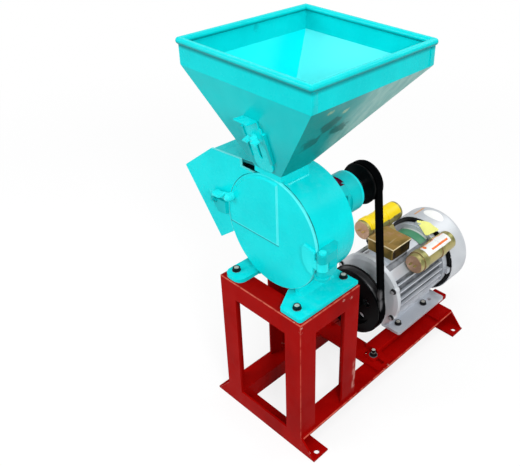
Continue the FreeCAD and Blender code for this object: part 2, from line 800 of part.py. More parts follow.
def bearing_cap():
    """Rear ring that holds the outer race, screwed on."""
    front = housing_back - 5
    back = housing_back + 2
    profile = [(16, front), (barrel_radius, front), (barrel_radius, housing_back), (36, back), (16, back)]
    return turned_y(profile, mill_x, mill_z)


def cap_screws():
    found = []
    for angle in (35, 155, 275):
        x, z = around(mill_x, mill_z, 29, angle)
        found.append(cylinder_y(x, z, 3.2, housing_back + 2, housing_back + 5))
    return found


def groove(rim):
    """Profile of a vee groove for the belt, open at the rim."""
    low = rim + belt_rise - belt_depth - belt_gap
    top_half = belt_width / 2 + belt_gap + 0.36 * belt_rise
    low_half = top_half - 0.36 * (rim + belt_rise - low)
    flank = [(rim + 3, top_half), (rim, top_half - 0.2), (low, low_half)]
    front = [(radius, belt_middle - half) for radius, half in flank]
    back = [(radius, belt_middle + half) for radius, half in reversed(flank)]
    return front + back


def pulley(x, z, rim, bore, web):
    """Turned pulley: grooved rim, and a recessed web where the wheel is large."""
    profile = [(bore, pulley_front), (rim, pulley_front), (rim, pulley_back), (bore, pulley_back)]
    wheel = turned_y(profile, x, z).cut(turned_y(groove(rim), x, z))
    if web:
        inner = rim - 22
        for y0, y1 in ((pulley_front - 1, pulley_front + 9), (pulley_back - 9, pulley_back + 1)):
            wheel = wheel.cut(tube_y(x, z, inner, 24, y0, y1))
        for i in range(5):
            hole_x, hole_z = around(x, z, (24 + inner) / 2, 72 * i + 18)
            wheel = wheel.cut(cylinder_y(hole_x, hole_z, 10, pulley_front, pulley_back))
    rims = [e for e in wheel.Edges if e.Closed and abs(e.Length - 2 * math.pi * rim) < 0.1
            and abs(e.CenterOfMass.y - belt_middle) > 12]
    return wheel.makeChamfer(1.0, rims)


def belt_section(x, z, radius, angle):
    """Trapezoid of the belt standing on a wheel at one angle, wide side outward."""
    a = math.radians(angle)
    corners = []
    for depth, half in ((0, belt_width / 2), (belt_depth, belt_width / 2 - 0.36 * belt_depth)):
        r = radius - depth
        corners.append((r, half))
    (r0, h0), (r1, h1) = corners
    ring = [(r0, -h0), (r0, h0), (r1, h1), (r1, -h1)]
    points = [V(x + r * math.cos(a), belt_middle + h, z + r * math.sin(a)) for r, h in ring]
    return Part.Face(Part.makePolygon(points + points[:1]))


def drive_belt():
    """Vee belt: an arc on each pulley and two straight runs tangent to both."""
    r_mill = mill_pulley_radius + belt_rise
    r_motor = motor_pulley_radius + belt_rise
    dx = mill_x - motor_x
    dz = mill_z - motor_z
    centre = math.degrees(math.atan2(dz, dx))
    lean = math.degrees(math.asin((r_motor - r_mill) / math.hypot(dx, dz)))
    right = centre - 90 + lean
    left = centre + 90 - lean
    turn = left - right
    along_y = V(0, 1, 0)
    top = belt_section(mill_x, mill_z, r_mill, right).revolve(V(mill_x, 0, mill_z), along_y, -turn)
    low = belt_section(motor_x, motor_z, r_motor, left)
    low = low.revolve(V(motor_x, 0, motor_z), along_y, turn - 360)
    runs = []
    for angle in (right, left):
        a = math.radians(angle)
        start = V(mill_x + r_mill * math.cos(a), 0, mill_z + r_mill * math.sin(a))
        end = V(motor_x + r_motor * math.cos(a), 0, motor_z + r_motor * math.sin(a))
        runs.append(belt_section(mill_x, mill_z, r_mill, angle).extrude(end - start))
    return fused([top, low] + runs)


# Motor

def motor_frame():
    """Finned barrel with cast feet and the pad for the terminal box."""
    barrel = tube_y(motor_x, motor_z, motor_core, motor_bore, barrel_front, barrel_back)
    stator = tube_y(motor_x, motor_z, motor_bore + 0.5, stator_bore, barrel_front + 30, barrel_back - 30)
    bare = ((34, 56), (64, 116), (124, 146), (228, 246), (294, 312))
    fins = []
    for i in range(30):
        angle = 6 + 12 * i
        if any(start < angle < end for start, end in bare):
            continue
        fin = box(motor_core - 2, fin_radius, barrel_front + 4, barrel_back - 4, -1.3, 1.3)
        fin.rotate(V(0, 0, 0), V(0, 1, 0), -angle)
        fin.translate(V(motor_x, 0, motor_z))
        fins.append(fin)
    pad = box(box_x0 + 6, box_x1 - 6, box_y0 + 2, box_y1 - 2, motor_z + motor_core - 16, box_z0)
    pieces = [barrel, stator, pad] + fins
    for side in (-1, 1):
        x0 = motor_x + side * (motor_hole_offset - 32)
        x1 = motor_x + side * (motor_hole_offset + 22)
        plate = box(min(x0, x1), max(x0, x1), barrel_front, barrel_back + 13, motor_seat_z, motor_seat_z + 7)
        plate = plate.makeFillet(6, [e for e in plate.Edges if abs(e.Vertexes[0].Z - e.Vertexes[1].Z) > 1])
        x2 = motor_x + side * 46
        x3 = motor_x + side * 57
        wall = box(min(x2, x3), max(x2, x3), barrel_front + 8, barrel_back, motor_seat_z, motor_z - 40)
        pieces += [plate, wall]
    frame = fused(pieces)
    frame = frame.cut(cylinder_y(motor_x, motor_z, stator_bore, barrel_front - 1, barrel_back + 1))
    for centre in motor_bar_centres():
        for y in (motor_hole_front, motor_hole_front + motor_hole_pitch, motor_hole_front + motor_hole_long):
            frame = frame.cut(cylinder_z(centre, y, 5.0, motor_seat_z - 1, motor_seat_z + 20))
    hollow = [cylinder_y(motor_x, motor_z, motor_bore, barrel_front - 1, barrel_front + 30),
              cylinder_y(motor_x, motor_z, motor_bore, barrel_back - 30, barrel_back + 1)]
    return frame.cut(hollow)


def motor_front_shield():
    """Turned end shield with a stepped dome round the shaft and four bosses for its long screws."""
    dome = [(13, 0), (36, 0), (38, 6), (62, 14), (80, 17), (shield_radius, 20)]
    outside = [(radius, motor_shoulder + y) for radius, y in dome] + [(shield_radius, barrel_front)]
    inside = [(60, barrel_front), (30, barrel_front - 8), (30, barrel_front + 6), (13, barrel_front + 6)]
    shield = turned_y(outside + inside, motor_x, motor_z)
    bosses = []
    for angle in (26, 154, 206, 334):
        x, z = around(motor_x, motor_z, shield_radius - 5, angle)
        bosses.append(cylinder_y(x, z, 8.0, motor_shoulder + 18, barrel_front))
    return fused([shield] + bosses)


def motor_rear_shield():
    """Rear end shield: a spigot ring just inside the fan cowl, and four lugs that carry it."""
    ring = cowl_radius - 4
    inside = [(13, -6), (30, -6), (30, 6), (60, 0), (fin_radius, 0), (fin_radius, 20.5)]
    outside = [(ring, 20.5), (ring, 24), (ring - 10, 24), (ring - 14, 18), (60, 20), (13, 22)]
    shield = turned_y([(radius, barrel_back + y) for radius, y in inside + outside], motor_x, motor_z)
    lugs = []
    for angle in (0, 90, 180, 270):
        lug = box(fin_radius - 12, cowl_radius - 1.5, barrel_back + 4, cowl_front + 8, -7, 7)
        lug.rotate(V(0, 0, 0), V(0, 1, 0), -angle)
        lug.translate(V(motor_x, 0, motor_z))
        lugs.append(lug)
    body = fused([shield] + lugs)
    shell = cylinder_y(motor_x, motor_z, cowl_radius - 1.5, barrel_back - 10, cowl_back)
    return body.common(shell)


def motor_shaft():
    """Shaft with the rotor core, and a flat for the key at the drive end."""
    step = motor_shoulder + 2
    nose = pulley_front - 12
    tail = cowl_front + 44
    core = stator_bore - 1
    core_front = barrel_front + 35
    core_back = barrel_back - 35
    drive_end = [(0, nose), (11, nose), (12, nose + 1), (12, step), (12.9, step), (12.9, core_front)]
    middle = [(core, core_front), (core, core_back), (12.9, core_back), (12.9, cowl_front + 2)]
    fan_end = [(10, cowl_front + 2), (10, tail), (0, tail)]
    shaft = turned_y(drive_end + middle + fan_end, motor_x, motor_z)
    key_seat = box(motor_x - 4, motor_x + 4, nose + 3, pulley_back, motor_z + 8, motor_z + 14)
    return shaft.cut(key_seat)


def motor_fan():
    """Moulded fan: hub, back disc and eight straight blades."""
    y0 = cowl_front + 8
    hub = cylinder_y(motor_x, motor_z, 22, y0, y0 + 28)
    disc = cylinder_y(motor_x, motor_z, cowl_radius - 36, y0, y0 + 3)
    blades = []
    for i in range(8):
        blade = box(16, cowl_radius - 14, y0 + 1, y0 + 27, -1.5, 1.5)
        blade.rotate(V(0, 0, 0), V(0, 1, 0), -45 * i)
        blade.translate(V(motor_x, 0, motor_z))
        blades.append(blade)
    return fused([hub, disc] + blades).cut(cylinder_y(motor_x, motor_z, 10, y0 - 1, y0 + 30))


def fan_cowl():
    """Drawn steel cowl with a rounded end and rows of slots for the air."""
    wall = 1.5
    cup = cylinder_y(motor_x, motor_z, cowl_radius, cowl_front, cowl_back)
    end_edge = [e for e in cup.Edges if e.Closed and e.CenterOfMass.y > cowl_back - 0.1]
    cup = cup.makeFillet(16, end_edge)
    inner = cylinder_y(motor_x, motor_z, cowl_radius - wall, cowl_front - 1, cowl_back - wall)
    inner_edge = [e for e in inner.Edges if e.Closed and e.CenterOfMass.y > cowl_back - wall - 0.1]
    inner = inner.makeFillet(14.5, inner_edge)
    cowl = cup.cut(inner)
    for i in range(12):
        slot = box(24, 70, cowl_back - 6, cowl_back + 1, -3, 3)
        slot = slot.fuse(cylinder_y(24, 0, 3, cowl_back - 6, cowl_back + 1))
        slot = slot.fuse(cylinder_y(70, 0, 3, cowl_back - 6, cowl_back + 1))
        slot.rotate(V(0, 0, 0), V(0, 1, 0), -30 * i)
        slot.translate(V(motor_x, 0, motor_z))
        cowl = cowl.cut(slot)
    return cowl


box_x0 = motor_x - 32.0
box_x1 = motor_x + 40.0
box_y0 = barrel_front + 22.0
box_y1 = box_y0 + 68.0
box_z0 = motor_z + 84.0
box_z1 = box_z0 + 24.0
gland_y = box_y0 + 16.0
gland_z = box_z0 + 12.0


def terminal_box():
    """Open-topped pressed box on the motor's pad."""
    outer = rounded_box(box_x0, box_x1, box_y0, box_y1, box_z0, box_z1, 5)
    inner = rounded_box(box_x0 + 2, box_x1 - 2, box_y0 + 2, box_y1 - 2, box_z0 + 2, box_z1 + 1, 3)
    shell = outer.cut(inner)
    inlet = Part.makeCylinder(8.2, 6, V(box_x0 - 1, gland_y, gland_z), V(1, 0, 0))
    return shell.cut(inlet)


def rounded_box(x0, x1, y0, y1, z0, z1, radius):
    solid = box(x0, x1, y0, y1, z0, z1)
    return solid.makeFillet(radius, [e for e in solid.Edges if abs(e.Vertexes[0].Z - e.Vertexes[1].Z) > 1])


def terminal_lid():
    lid = rounded_box(box_x0 - 2, box_x1 + 2, box_y0 - 2, box_y1 + 2, box_z1, box_z1 + 5, 6)
    top = [e for e in lid.Edges if e.CenterOfMass.z > box_z1 + 4.9]
    return lid.makeFillet(2.0, top)


def cable_gland():
    """Hollow gland for the mains lead on the side of the terminal box."""
    along_x = V(1, 0, 0)
    body = Part.makeCylinder(8, 16, V(box_x0 - 10, gland_y, gland_z), along_x)
    collar = Part.makeCylinder(11, 5, V(box_x0 - 5, gland_y, gland_z), along_x)
    bore = Part.makeCylinder(4.5, 30, V(box_x0 - 15, gland_y, gland_z), along_x)
    return fused([body, collar]).cut(bore)


left_can_front = barrel_front + 58.0
right_can_front = barrel_front + 52.0
capacitors = {
    "left": (motor_x - can_reach, motor_z + left_can_rise, left_can_radius,
             left_can_front, left_can_front + left_can_length),
    "right": (motor_x + can_reach, motor_z + right_can_rise, right_can_radius,
              right_can_front, right_can_front + right_can_length),
}


def capacitor(name):
    """Round can with rolled edges and two flat tags at the front."""
    x, z, radius, y0, y1 = capacitors[name]
    can = cylinder_y(x, z, radius, y0, y1)
    can = can.makeFillet(3.0, [e for e in can.Edges if e.Closed])
    tags = [box(x + s * 6 - 3, x + s * 6 + 3, y0 - 9, y0 + 1, z - 0.6, z + 0.6) for s in (-1, 1)]
    return fused([can] + tags)


def capacitor_clamps():
    """Bands round the two cans, each with a leg down to the motor's barrel."""
    found = []
    for x, z, radius, y0, y1 in capacitors.values():
        dx = x - motor_x
        dz = z - motor_z
        size = math.hypot(dx, dz)
        angle = math.degrees(math.atan2(dz, dx))
        for y in (y0 + 14, y1 - 54):
            band = tube_y(x, z, radius + 2, radius, y, y + 14)
            leg = box(motor_core - 4, size - radius - 0.5, y, y + 14, -12, 12)
            leg.rotate(V(0, 0, 0), V(0, 1, 0), -angle)
            leg.translate(V(motor_x, 0, motor_z))
            leg = leg.cut(cylinder_y(motor_x, motor_z, motor_core, y - 1, y + 20))
            found.append(fused([band, leg.cut(cylinder_y(x, z, radius, y - 1, y + 20))]))
    return found


def motor_screws():
    """Hexagon screws with washers through the motor feet into the slide bars."""
    found = []
    top = motor_seat_z + 7
    for x in motor_bar_centres():
        for y in motor_screw_places():
            head = hexagon_z(x, y, 13, top + 1.6, top + 7)
            washer = cylinder_z(x, y, 8.5, top, top + 1.6)
            shank = cylinder_z(x, y, 4.0, slide_bar_low, top + 2)
            found.append(fused([head, washer, shank]))
    return found


# Hopper

def hopper_rim():
    """Rolled tube round the mouth, mitred at the corners."""
    path = [(-1, -1), (1, -1), (1, 1), (-1, 1)]
    tubes = []
    for i in range(4):
        ax, ay = path[i]
        bx, by = path[(i + 1) % 4]
        start = V(mill_x + ax * hopper_half, hopper_y + ay * hopper_half, rim_z)
        end = V(mill_x + bx * hopper_half, hopper_y + by * hopper_half, rim_z)
        run = end - start
        tubes.append(Part.makeCylinder(rim_radius, run.Length, start, run))
        tubes.append(Part.makeSphere(rim_radius, start))
    ring = fused(tubes)
    slit = square(hopper_half + sheet / 2, rim_z - rim_radius - 1, rim_z)
    slit = slit.cut(square(hopper_half - sheet / 2, rim_z - rim_radius - 2, rim_z + 1))
    return ring.cut(slit)


def square(half, z0, z1):
    return box(mill_x - half, mill_x + half, hopper_y - half, hopper_y + half, z0, z1)


def hopper_band():
    """Upright band of sheet between the rim and the funnel."""
    outer = square(hopper_half + sheet / 2, band_low, rim_z)
    return outer.cut(square(hopper_half - sheet / 2, band_low - 1, rim_z + 1))


def rectangle(x0, x1, y0, y1, z):
    points = [V(x0, y0, z), V(x1, y0, z), V(x1, y1, z), V(x0, y1, z)]
    return Part.makePolygon(points + points[:1])


def funnel_solid(skin):
    """Solid inside the funnel's outer skin, or inside its inner skin."""
    top = hopper_half + sheet / 2 - skin
    mouth = rectangle(mill_x - top, mill_x + top, hopper_y - top, hopper_y + top, band_low)
    throat = rectangle(throat_x0 + skin, throat_x1 - skin, throat_y0 + skin, throat_y1 - skin, throat_z)
    return Part.makeLoft([mouth, throat], True, True)


def front_slope():
    """Unit direction up the front wall of the funnel."""
    rise = band_low - throat_z
    run = (hopper_y - hopper_half - sheet / 2) - throat_y0
    size = math.hypot(rise, run)
    return run / size, rise / size


def on_front_wall(s, lift):
    """Point (y, z) at distance s up the front wall from the slide's low end, lifted off it."""
    ty, tz = front_slope()
    start = throat_y0 + (slide_low_z - throat_z) * ty / tz
    return start + s * ty - lift * tz, slide_low_z + s * tz + lift * ty


def wall_rectangle(low, high, inside, outside):
    """Section (y, z) of a strip on the front wall between two distances and two lifts."""
    corners = ((low, inside), (high, inside), (high, outside), (low, outside))
    return [on_front_wall(s, lift) for s, lift in corners]


def hopper_funnel():
    """Four-sided funnel with the guides of the feed slide and the tapped boss of its screw."""
    shell = funnel_solid(0).cut(funnel_solid(sheet))
    guides = []
    for side in (-1, 1):
        x0 = mill_x + side * (slide_width / 2 + slide_clearance)
        x1 = x0 + side * 6
        guides.append(prism_x(wall_rectangle(24, 86, -1, 5), min(x0, x1), max(x0, x1)))
    body = fused([shell] + guides)
    body = body.cut(funnel_solid(sheet))
    mouth = slide_width / 2 - 5
    body = body.cut(prism_x(wall_rectangle(5, 24, -6, 6), mill_x - mouth, mill_x + mouth))
    y, z = on_front_wall(70, 0)
    ty, tz = front_slope()
    return body.cut(Part.makeCylinder(3.05, 12, V(mill_x, y + 6 * tz, z - 6 * ty), V(0, -tz, ty)))


def hopper_neck():
    """Square spout from the funnel down to the drum, its lower edge shaped to the drum."""
    outer = box(throat_x0, throat_x1, throat_y0, throat_y1, neck_low, throat_z)
    low = box(throat_x0, throat_x1, drum_front + 0.5, throat_y1, mill_z + 80, neck_low)
    neck = outer.fuse(low).removeSplitter()
    neck = neck.cut(box(throat_x0 + sheet, throat_x1 - sheet, throat_y0 + sheet, throat_y1 - sheet,
                        mill_z + 48, throat_z + 1))
    neck = neck.cut(cylinder_y(mill_x, mill_z, drum_radius, 0, 200))
    return neck.cut(cylinder_y(mill_x, mill_z, flange_radius, 0, drum_front + flange_depth))


def feed_slide():
    """Sliding plate on the funnel's front wall: round low corners, a clamp slot and a bent pull tab."""
    half = slide_width / 2
    tab_half = slide_tab_width / 2
    lift = slide_clearance
    top = lift + slide_thick
    plate = prism_x(wall_rectangle(0, slide_length - 14, lift, top), mill_x - half, mill_x + half)
    strap = prism_x(wall_rectangle(0, slide_length, lift, top), mill_x - tab_half, mill_x + tab_half)
    y1, z1 = on_front_wall(slide_length, lift)
    tab = box(mill_x - tab_half, mill_x + tab_half, y1 - 20, y1, z1 - slide_thick, z1)
    body = fused([plate, strap, tab])
    ty, tz = front_slope()
    outward = V(0, -tz, ty)
    cuts = []
    slot_low = 30
    slot_high = 74
    for s in (slot_low, slot_high):
        y, z = on_front_wall(s, -4)
        cuts.append(Part.makeCylinder(3.6, 14, V(mill_x, y, z), outward))
    cuts.append(prism_x(wall_rectangle(slot_low, slot_high, -4, 10), mill_x - 3.6, mill_x + 3.6))
    body = body.cut(cuts)
    for side in (-1, 1):
        yc, zc = on_front_wall(slide_corner, -4)
        x0 = mill_x + side * (half - slide_corner)
        x1 = mill_x + side * (half + 1)
        keep = Part.makeCylinder(slide_corner, 16, V(x0, yc, zc), outward)
        corner = prism_x(wall_rectangle(-5, slide_corner, -4, 12), min(x0, x1), max(x0, x1)).cut(keep)
        body = body.cut(corner)
    return body


def slide_lock_screw():
    """Wing screw that clamps the feed slide to the funnel."""
    ty, tz = front_slope()
    outward = V(0, -tz, ty)

    def at(lift):
        y, z = on_front_wall(70, lift)
        return V(mill_x, y, z)
    lift = slide_clearance + slide_thick
    shank = Part.makeCylinder(3.0, lift + 5 + sheet + 1, at(-sheet - 1), outward)
    washer = Part.makeCylinder(8.0, 1.4, at(lift + 0.2), outward)
    hub = Part.makeCone(6.5, 5.0, 8, at(lift + 1.6), outward)
    wings = []
    for side in (-1, 1):
        x0 = mill_x + side * 4
        x1 = mill_x + side * 15
        wings.append(prism_x(wall_rectangle(68.5, 71.5, lift + 3, lift + 15), min(x0, x1), max(x0, x1)))
    return fused([shank, washer, hub] + wings)


# Save every piece

for label, side_y in (("front", 0), ("rear", 1)):
    save("stand_legs_" + label, Part.makeCompound([stand_leg(side_x, side_y) for side_x in (-1, 1)]))
save("stand_top_frame", stand_top_frame())
save("base_rails", Part.makeCompound([base_rail(side) for side in (-1, 1)]))
save("front_cross_foot", cross_foot(0))
save("rear_cross_foot", cross_foot(1))
save("front_cross_bar", cross_bar(cross_bar_places[0]))
save("rear_cross_bar", cross_bar(cross_bar_places[1]))
save("slide_bars", Part.makeCompound([slide_bar(side) for side in (-1, 1)]))
save("motor_bolts", Part.makeCompound(slide_bar_studs() + motor_screws()))
for label, side in (("left", -1), ("right", 1)):
    save("mill_foot_" + label, foot(side))
    save("capacitor_" + label, capacitor(label))
save("housing_wall", housing_wall())
save("back_plate", back_plate())
save("chamber_cover", chamber_cover())
save("mill_foot_bolts", Part.makeCompound(mill_foot_bolts()))
save("toothed_liner", toothed_liner())
save("sieve", sieve())
save("door_plate", door_plate())
save("door_panel", door_panel())
save("door_hinge_leaf", door_hinge_leaf())
save("body_hinge_leaf", body_hinge_leaf())
save("hinge_pin", hinge_pin())
save("latch_pivot", latch_pivot())
save("latch_bar", latch_bar())
save("latch_keeper", latch_keeper())
save("rotor_shaft", rotor_shaft())
save("rotor_lock_nut", rotor_lock_nut())
save("rotor_discs", rotor_discs())
save("hammer_pins", Part.makeCompound(hammer_pins()))
for number, angle in enumerate(pin_angles(), 1):
    save("hammers_" + str(number), Part.makeCompound(hammers(angle)))
save("bearing_housing", bearing_housing())
save("bearing_screws", Part.makeCompound(housing_screws() + cap_screws()))
save("bearings", Part.makeCompound([bearing(housing_back - 42.5), bearing(housing_back - 20.0)]))
save("bearing_cap", bearing_cap())
save("mill_pulley", pulley(mill_x, mill_z, mill_pulley_radius, shaft_radius, False))
save("motor_pulley", pulley(motor_x, motor_z, motor_pulley_radius, 12.0, True))
save("drive_belt", drive_belt())
save("motor_frame", motor_frame())
save("motor_front_shield", motor_front_shield())
save("motor_rear_shield", motor_rear_shield())
save("motor_shaft", motor_shaft())
save("motor_fan", motor_fan())
save("fan_cowl", fan_cowl())
save("terminal_box", terminal_box())
save("terminal_lid", terminal_lid())
save("cable_gland", cable_gland())
save("capacitor_clamps", Part.makeCompound(capacitor_clamps()))
save("hopper_rim", hopper_rim())
save("hopper_band", hopper_band())
save("hopper_funnel", hopper_funnel())
save("hopper_neck", hopper_neck())
save("feed_slide", feed_slide())
save("slide_lock_screw", slide_lock_screw())
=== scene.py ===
# %% [markdown]
# # A small hammer mill on its stand
# A powder grinder of this kind is a round mill housing with a square hopper on top, a red stand
# of angle iron, and a motor behind that drives it by a belt. The imported CAD model is loaded first
# and stays as it is. This file gives each piece its finish, models the small pieces that belong to
# its looks, and sets up light and camera. Nothing that is added may stand outside it.

# %% Load the frame
import math

import bpy
from mathutils import Matrix, Vector


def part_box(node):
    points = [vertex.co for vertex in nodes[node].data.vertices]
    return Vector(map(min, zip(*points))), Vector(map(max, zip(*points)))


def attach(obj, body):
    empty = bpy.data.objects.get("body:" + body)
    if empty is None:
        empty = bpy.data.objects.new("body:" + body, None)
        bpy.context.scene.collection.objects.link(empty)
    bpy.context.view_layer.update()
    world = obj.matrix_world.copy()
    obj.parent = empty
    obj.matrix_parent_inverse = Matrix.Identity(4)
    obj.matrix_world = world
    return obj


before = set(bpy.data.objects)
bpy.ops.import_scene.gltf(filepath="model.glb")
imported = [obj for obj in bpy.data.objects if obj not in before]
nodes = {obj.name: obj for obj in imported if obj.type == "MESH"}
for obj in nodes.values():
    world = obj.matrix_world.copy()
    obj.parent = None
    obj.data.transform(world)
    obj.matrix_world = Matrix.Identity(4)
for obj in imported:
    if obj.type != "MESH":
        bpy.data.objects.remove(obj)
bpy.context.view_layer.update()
print("nodes:", len(nodes))

# %% [markdown]
# ## Shader maths as plain expressions
# A finish is easiest to read when it is written like a formula. One small class wraps an output
# of a shader node, so that `mask * 0.5 + 0.3` adds the Math nodes by itself, and `a | b` is the
# larger of two masks. Another keeps a material's tree and adds every other kind of node through one
# method: first its settings, then its inputs, which may be numbers, colours or other outputs.

# %% Socket and finish classes
class Signal:
    """An output socket that can be used in a formula."""

    def __init__(self, finish, socket):
        self.finish = finish
        self.socket = socket

    def math(self, operation, *others):
        return self.finish.node("ShaderNodeMath", {"operation": operation}, self, *others)

    def __add__(self, other):
        return self.math("ADD", other)

    def __sub__(self, other):
        return self.math("SUBTRACT", other)

    def __mul__(self, other):
        return self.math("MULTIPLY", other)

    def __gt__(self, other):
        return self.math("GREATER_THAN", other)

    def __or__(self, other):
        return self.math("MAXIMUM", other)

    def __abs__(self):
        return self.math("ABSOLUTE")

    __radd__ = __add__
    __rmul__ = __mul__


class Finish:
    """A material whose Principled shader is fed by formulas."""

    def __init__(self, name):
        self.material = bpy.data.materials.new(name)
        self.material.use_nodes = True
        self.tree = self.material.node_tree
        self.shader = next(n for n in self.tree.nodes if n.type == "BSDF_PRINCIPLED")

    def node(self, kind, settings, *values, out=0, **named):
        made = self.tree.nodes.new(kind)
        for key, value in settings.items():
            setattr(made, key, value)
        for key, value in list(enumerate(values)) + list(named.items()):
            self.feed(made.inputs[key.replace("_", " ") if isinstance(key, str) else key], value)
        return Signal(self, made.outputs[out])

    def feed(self, socket, value):
        if isinstance(value, Signal):
            self.tree.links.new(value.socket, socket)
        elif value is not None:
            socket.default_value = value

    def place(self):
        return self.node("ShaderNodeTexCoord", {}, out="Object")

    def axis(self, letter):
        return self.node("ShaderNodeSeparateXYZ", {}, self.place(), out=letter)

    def facing(self, letter):
        """How much the surface faces along X, Y or Z, from -1 to 1."""
        normal = self.node("ShaderNodeNewGeometry", {}, out="Normal")
        return self.node("ShaderNodeSeparateXYZ", {}, normal, out=letter)

    def noise(self, scale, detail=3.0, roughness=0.55, stretch=(1, 1, 1)):
        spot = self.node("ShaderNodeMapping", {}, self.place(), Scale=stretch)
        return self.node("ShaderNodeTexNoise", {}, Vector=spot, Scale=scale, Detail=detail,
                         Roughness=roughness)

    def fade(self, value, low, high, to_low=0.0, to_high=1.0):
        """Map a value from low..high to 0..1, or to the two given ends, softly."""
        return self.node("ShaderNodeMapRange", {"interpolation_type": "SMOOTHSTEP"},
                         value, low, high, to_low, to_high)

    def blend(self, factor, first, second):
        made = self.tree.nodes.new("ShaderNodeMix")
        made.data_type = "RGBA"
        self.feed(made.inputs[0], factor)
        self.feed(made.inputs[6], first)
        self.feed(made.inputs[7], second)
        return Signal(self, made.outputs[2])

    def distance(self, points, weight=(1, 1, 1)):
        """Distance in metres to the nearest of the points, each axis counted by its weight."""
        nearest = None
        for point in points:
            shifted = self.node("ShaderNodeVectorMath", {"operation": "SUBTRACT"}, self.place(), point)
            shifted = self.node("ShaderNodeVectorMath", {"operation": "MULTIPLY"}, shifted, weight)
            away = self.node("ShaderNodeVectorMath", {"operation": "LENGTH"}, shifted, out="Value")
            nearest = away if nearest is None else nearest.math("MINIMUM", away)
        return nearest

    def edge(self, first, at_first, second, at_second, width):
        """1 along the line where two coordinates have the given values, 0 at the given width from it."""
        a = abs(self.axis(first) - at_first)
        b = abs(self.axis(second) - at_second)
        return self.fade(a | b, width, width * 0.3)

    def bump(self, height, strength, distance):
        made = self.node("ShaderNodeBump", {}, Strength=strength, Distance=distance, Height=height)
        self.feed(self.shader.inputs["Normal"], made)

    def set(self, **sockets):
        for name, value in sockets.items():
            self.feed(self.shader.inputs[name.replace("_", " ")], value)

    def cover(self, piece):
        piece.data.materials.clear()
        piece.data.materials.append(self.material)


def colour(red, green, blue):
    """A colour given as it looks on screen, from 0 to 255, as the shader wants it."""
    def straight(value):
        value = value / 255
        return value / 12.92 if value <= 0.04045 else ((value + 0.055) / 1.055) ** 2.4
    return (straight(red), straight(green), straight(blue), 1.0)


print("helpers ready")

# %% [markdown]
# ## The turquoise enamel
# The mill and hopper are sprayed in a thick turquoise enamel. Seen close, enamel has a faint
# orange peel, runs a little where the sprayer paused, and dulls where hands and powder touch it.
# Two slow noises shift its shade and gloss, and a fine one gives the peel. Powder settles on what
# faces up, so a pale dust follows the normal, which works for every pose of the door. The body's
# hinge leaf and the latch keeper get a darker copy of the enamel with a coarser peel, as painted
# shade. The door's hinge leaf, the pin, the latch and the slide's lock screw get a paler copy, as a
# painted highlight. The weld beads get a paler copy too, as a painted highlight. A strong colour
# looks washed out if too much white is mirrored in it, so the specular level is low.

# %% Enamel for the mill
MILL_TINTS = (3, 223, 226), (1, 210, 215), (16, 234, 237)


def enamel(name, tint, shade, light, gloss=0.24, peel=0.07, dust_amount=0.05):
    f = Finish(name)
    broad = f.fade(f.noise(9.0, 2.0), 0.35, 0.68)
    streak = f.fade(f.noise(26.0, 3.0, stretch=(1, 1, 0.22)), 0.42, 0.75)
    base = f.blend(broad * 0.7, colour(*tint), colour(*shade))
    base = f.blend(streak * 0.14, base, colour(*light))
    powder = f.fade(f.noise(60.0, 5.0, 0.7), 0.40, 0.78)
    settled = f.fade(f.facing("Z"), 0.55, 1.0) * powder * dust_amount
    base = f.blend(settled, base, colour(215, 240, 238))
    pits = f.fade(f.noise(520.0, 2.0), 0.70, 0.80)
    base = f.blend(pits * 0.16, base, colour(*shade))
    smudge = f.fade(f.noise(34.0, 4.0, 0.65), 0.40, 0.72)
    f.set(Base_Color=base, Roughness=gloss + smudge * 0.12 + settled * 2.0,
          Specular_IOR_Level=0.2, IOR=1.3)
    f.bump(f.noise(210.0, 2.0) * 0.7 + f.noise(24.0, 2.0) * 0.5 - pits * 0.4, peel, 0.0012)
    return f, base


teal, _ = enamel("turquoise_enamel", *MILL_TINTS)
# A darker copy of the enamel with a coarser peel, as painted shade on the body's hinge leaf and the
# latch keeper.
teal_painted_shade, _ = enamel("turquoise_enamel_on_casting_painted_darker_as_shade", (3, 198, 202), (1, 176, 181), (40, 232, 234),
                      gloss=0.28, peel=0.25)
# A paler copy of the enamel, as a painted highlight on the door's hinge leaf, the pin, the latch and the
# slide's lock screw.
teal_painted_highlight, _ = enamel("turquoise_enamel_painted_paler_as_highlight", (36, 234, 236), (8, 216, 220),
                        (120, 248, 248), gloss=0.18, peel=0.15)
# A paler copy of the enamel, as a painted highlight on the weld beads.
teal_weld_painted_highlight, _ = enamel("turquoise_enamel_on_welds_painted_paler_as_highlight", (90, 240, 242), (40, 226, 230), (150, 250, 250),
                       gloss=0.16)
print("enamels:", teal.material.name, teal_painted_shade.material.name, teal_painted_highlight.material.name)

# %% [markdown]
# ## Painted highlights and shade on the door, and a dark joint behind it
# The door's rounded rim, the upright bevel and lower edge of its raised panel and the cut edge of the
# chamber's cover are painted paler, as painted highlights. The panel's downward bevels and a thin
# line on the door below the panel are painted darker, as painted shade. Dark is the joint between
# door and drum, with powder in it. These are masks too: by the distance from the mill's axis, by
# how far a bevel turns away from the front, and by thin bands along Y and Z.

# %% Enamel for door, panel and drum
MOTOR_AXIS = (-0.012, 0.148)
MILL_AXIS = (-0.006, 0.452)


def from_axis(f, axis):
    """Distance of a point from a line along Y."""
    across = f.axis("X") - axis[0]
    above = f.axis("Z") - axis[1]
    return (across * across + above * above).math("SQRT")


PAINTED_HIGHLIGHT_TEAL = colour(120, 246, 248)
DRUM_RADIUS = 0.110
DOOR_JOINT_Y = -0.218

door_enamel, door_base = enamel("turquoise_enamel_door", *MILL_TINTS)
f = door_enamel
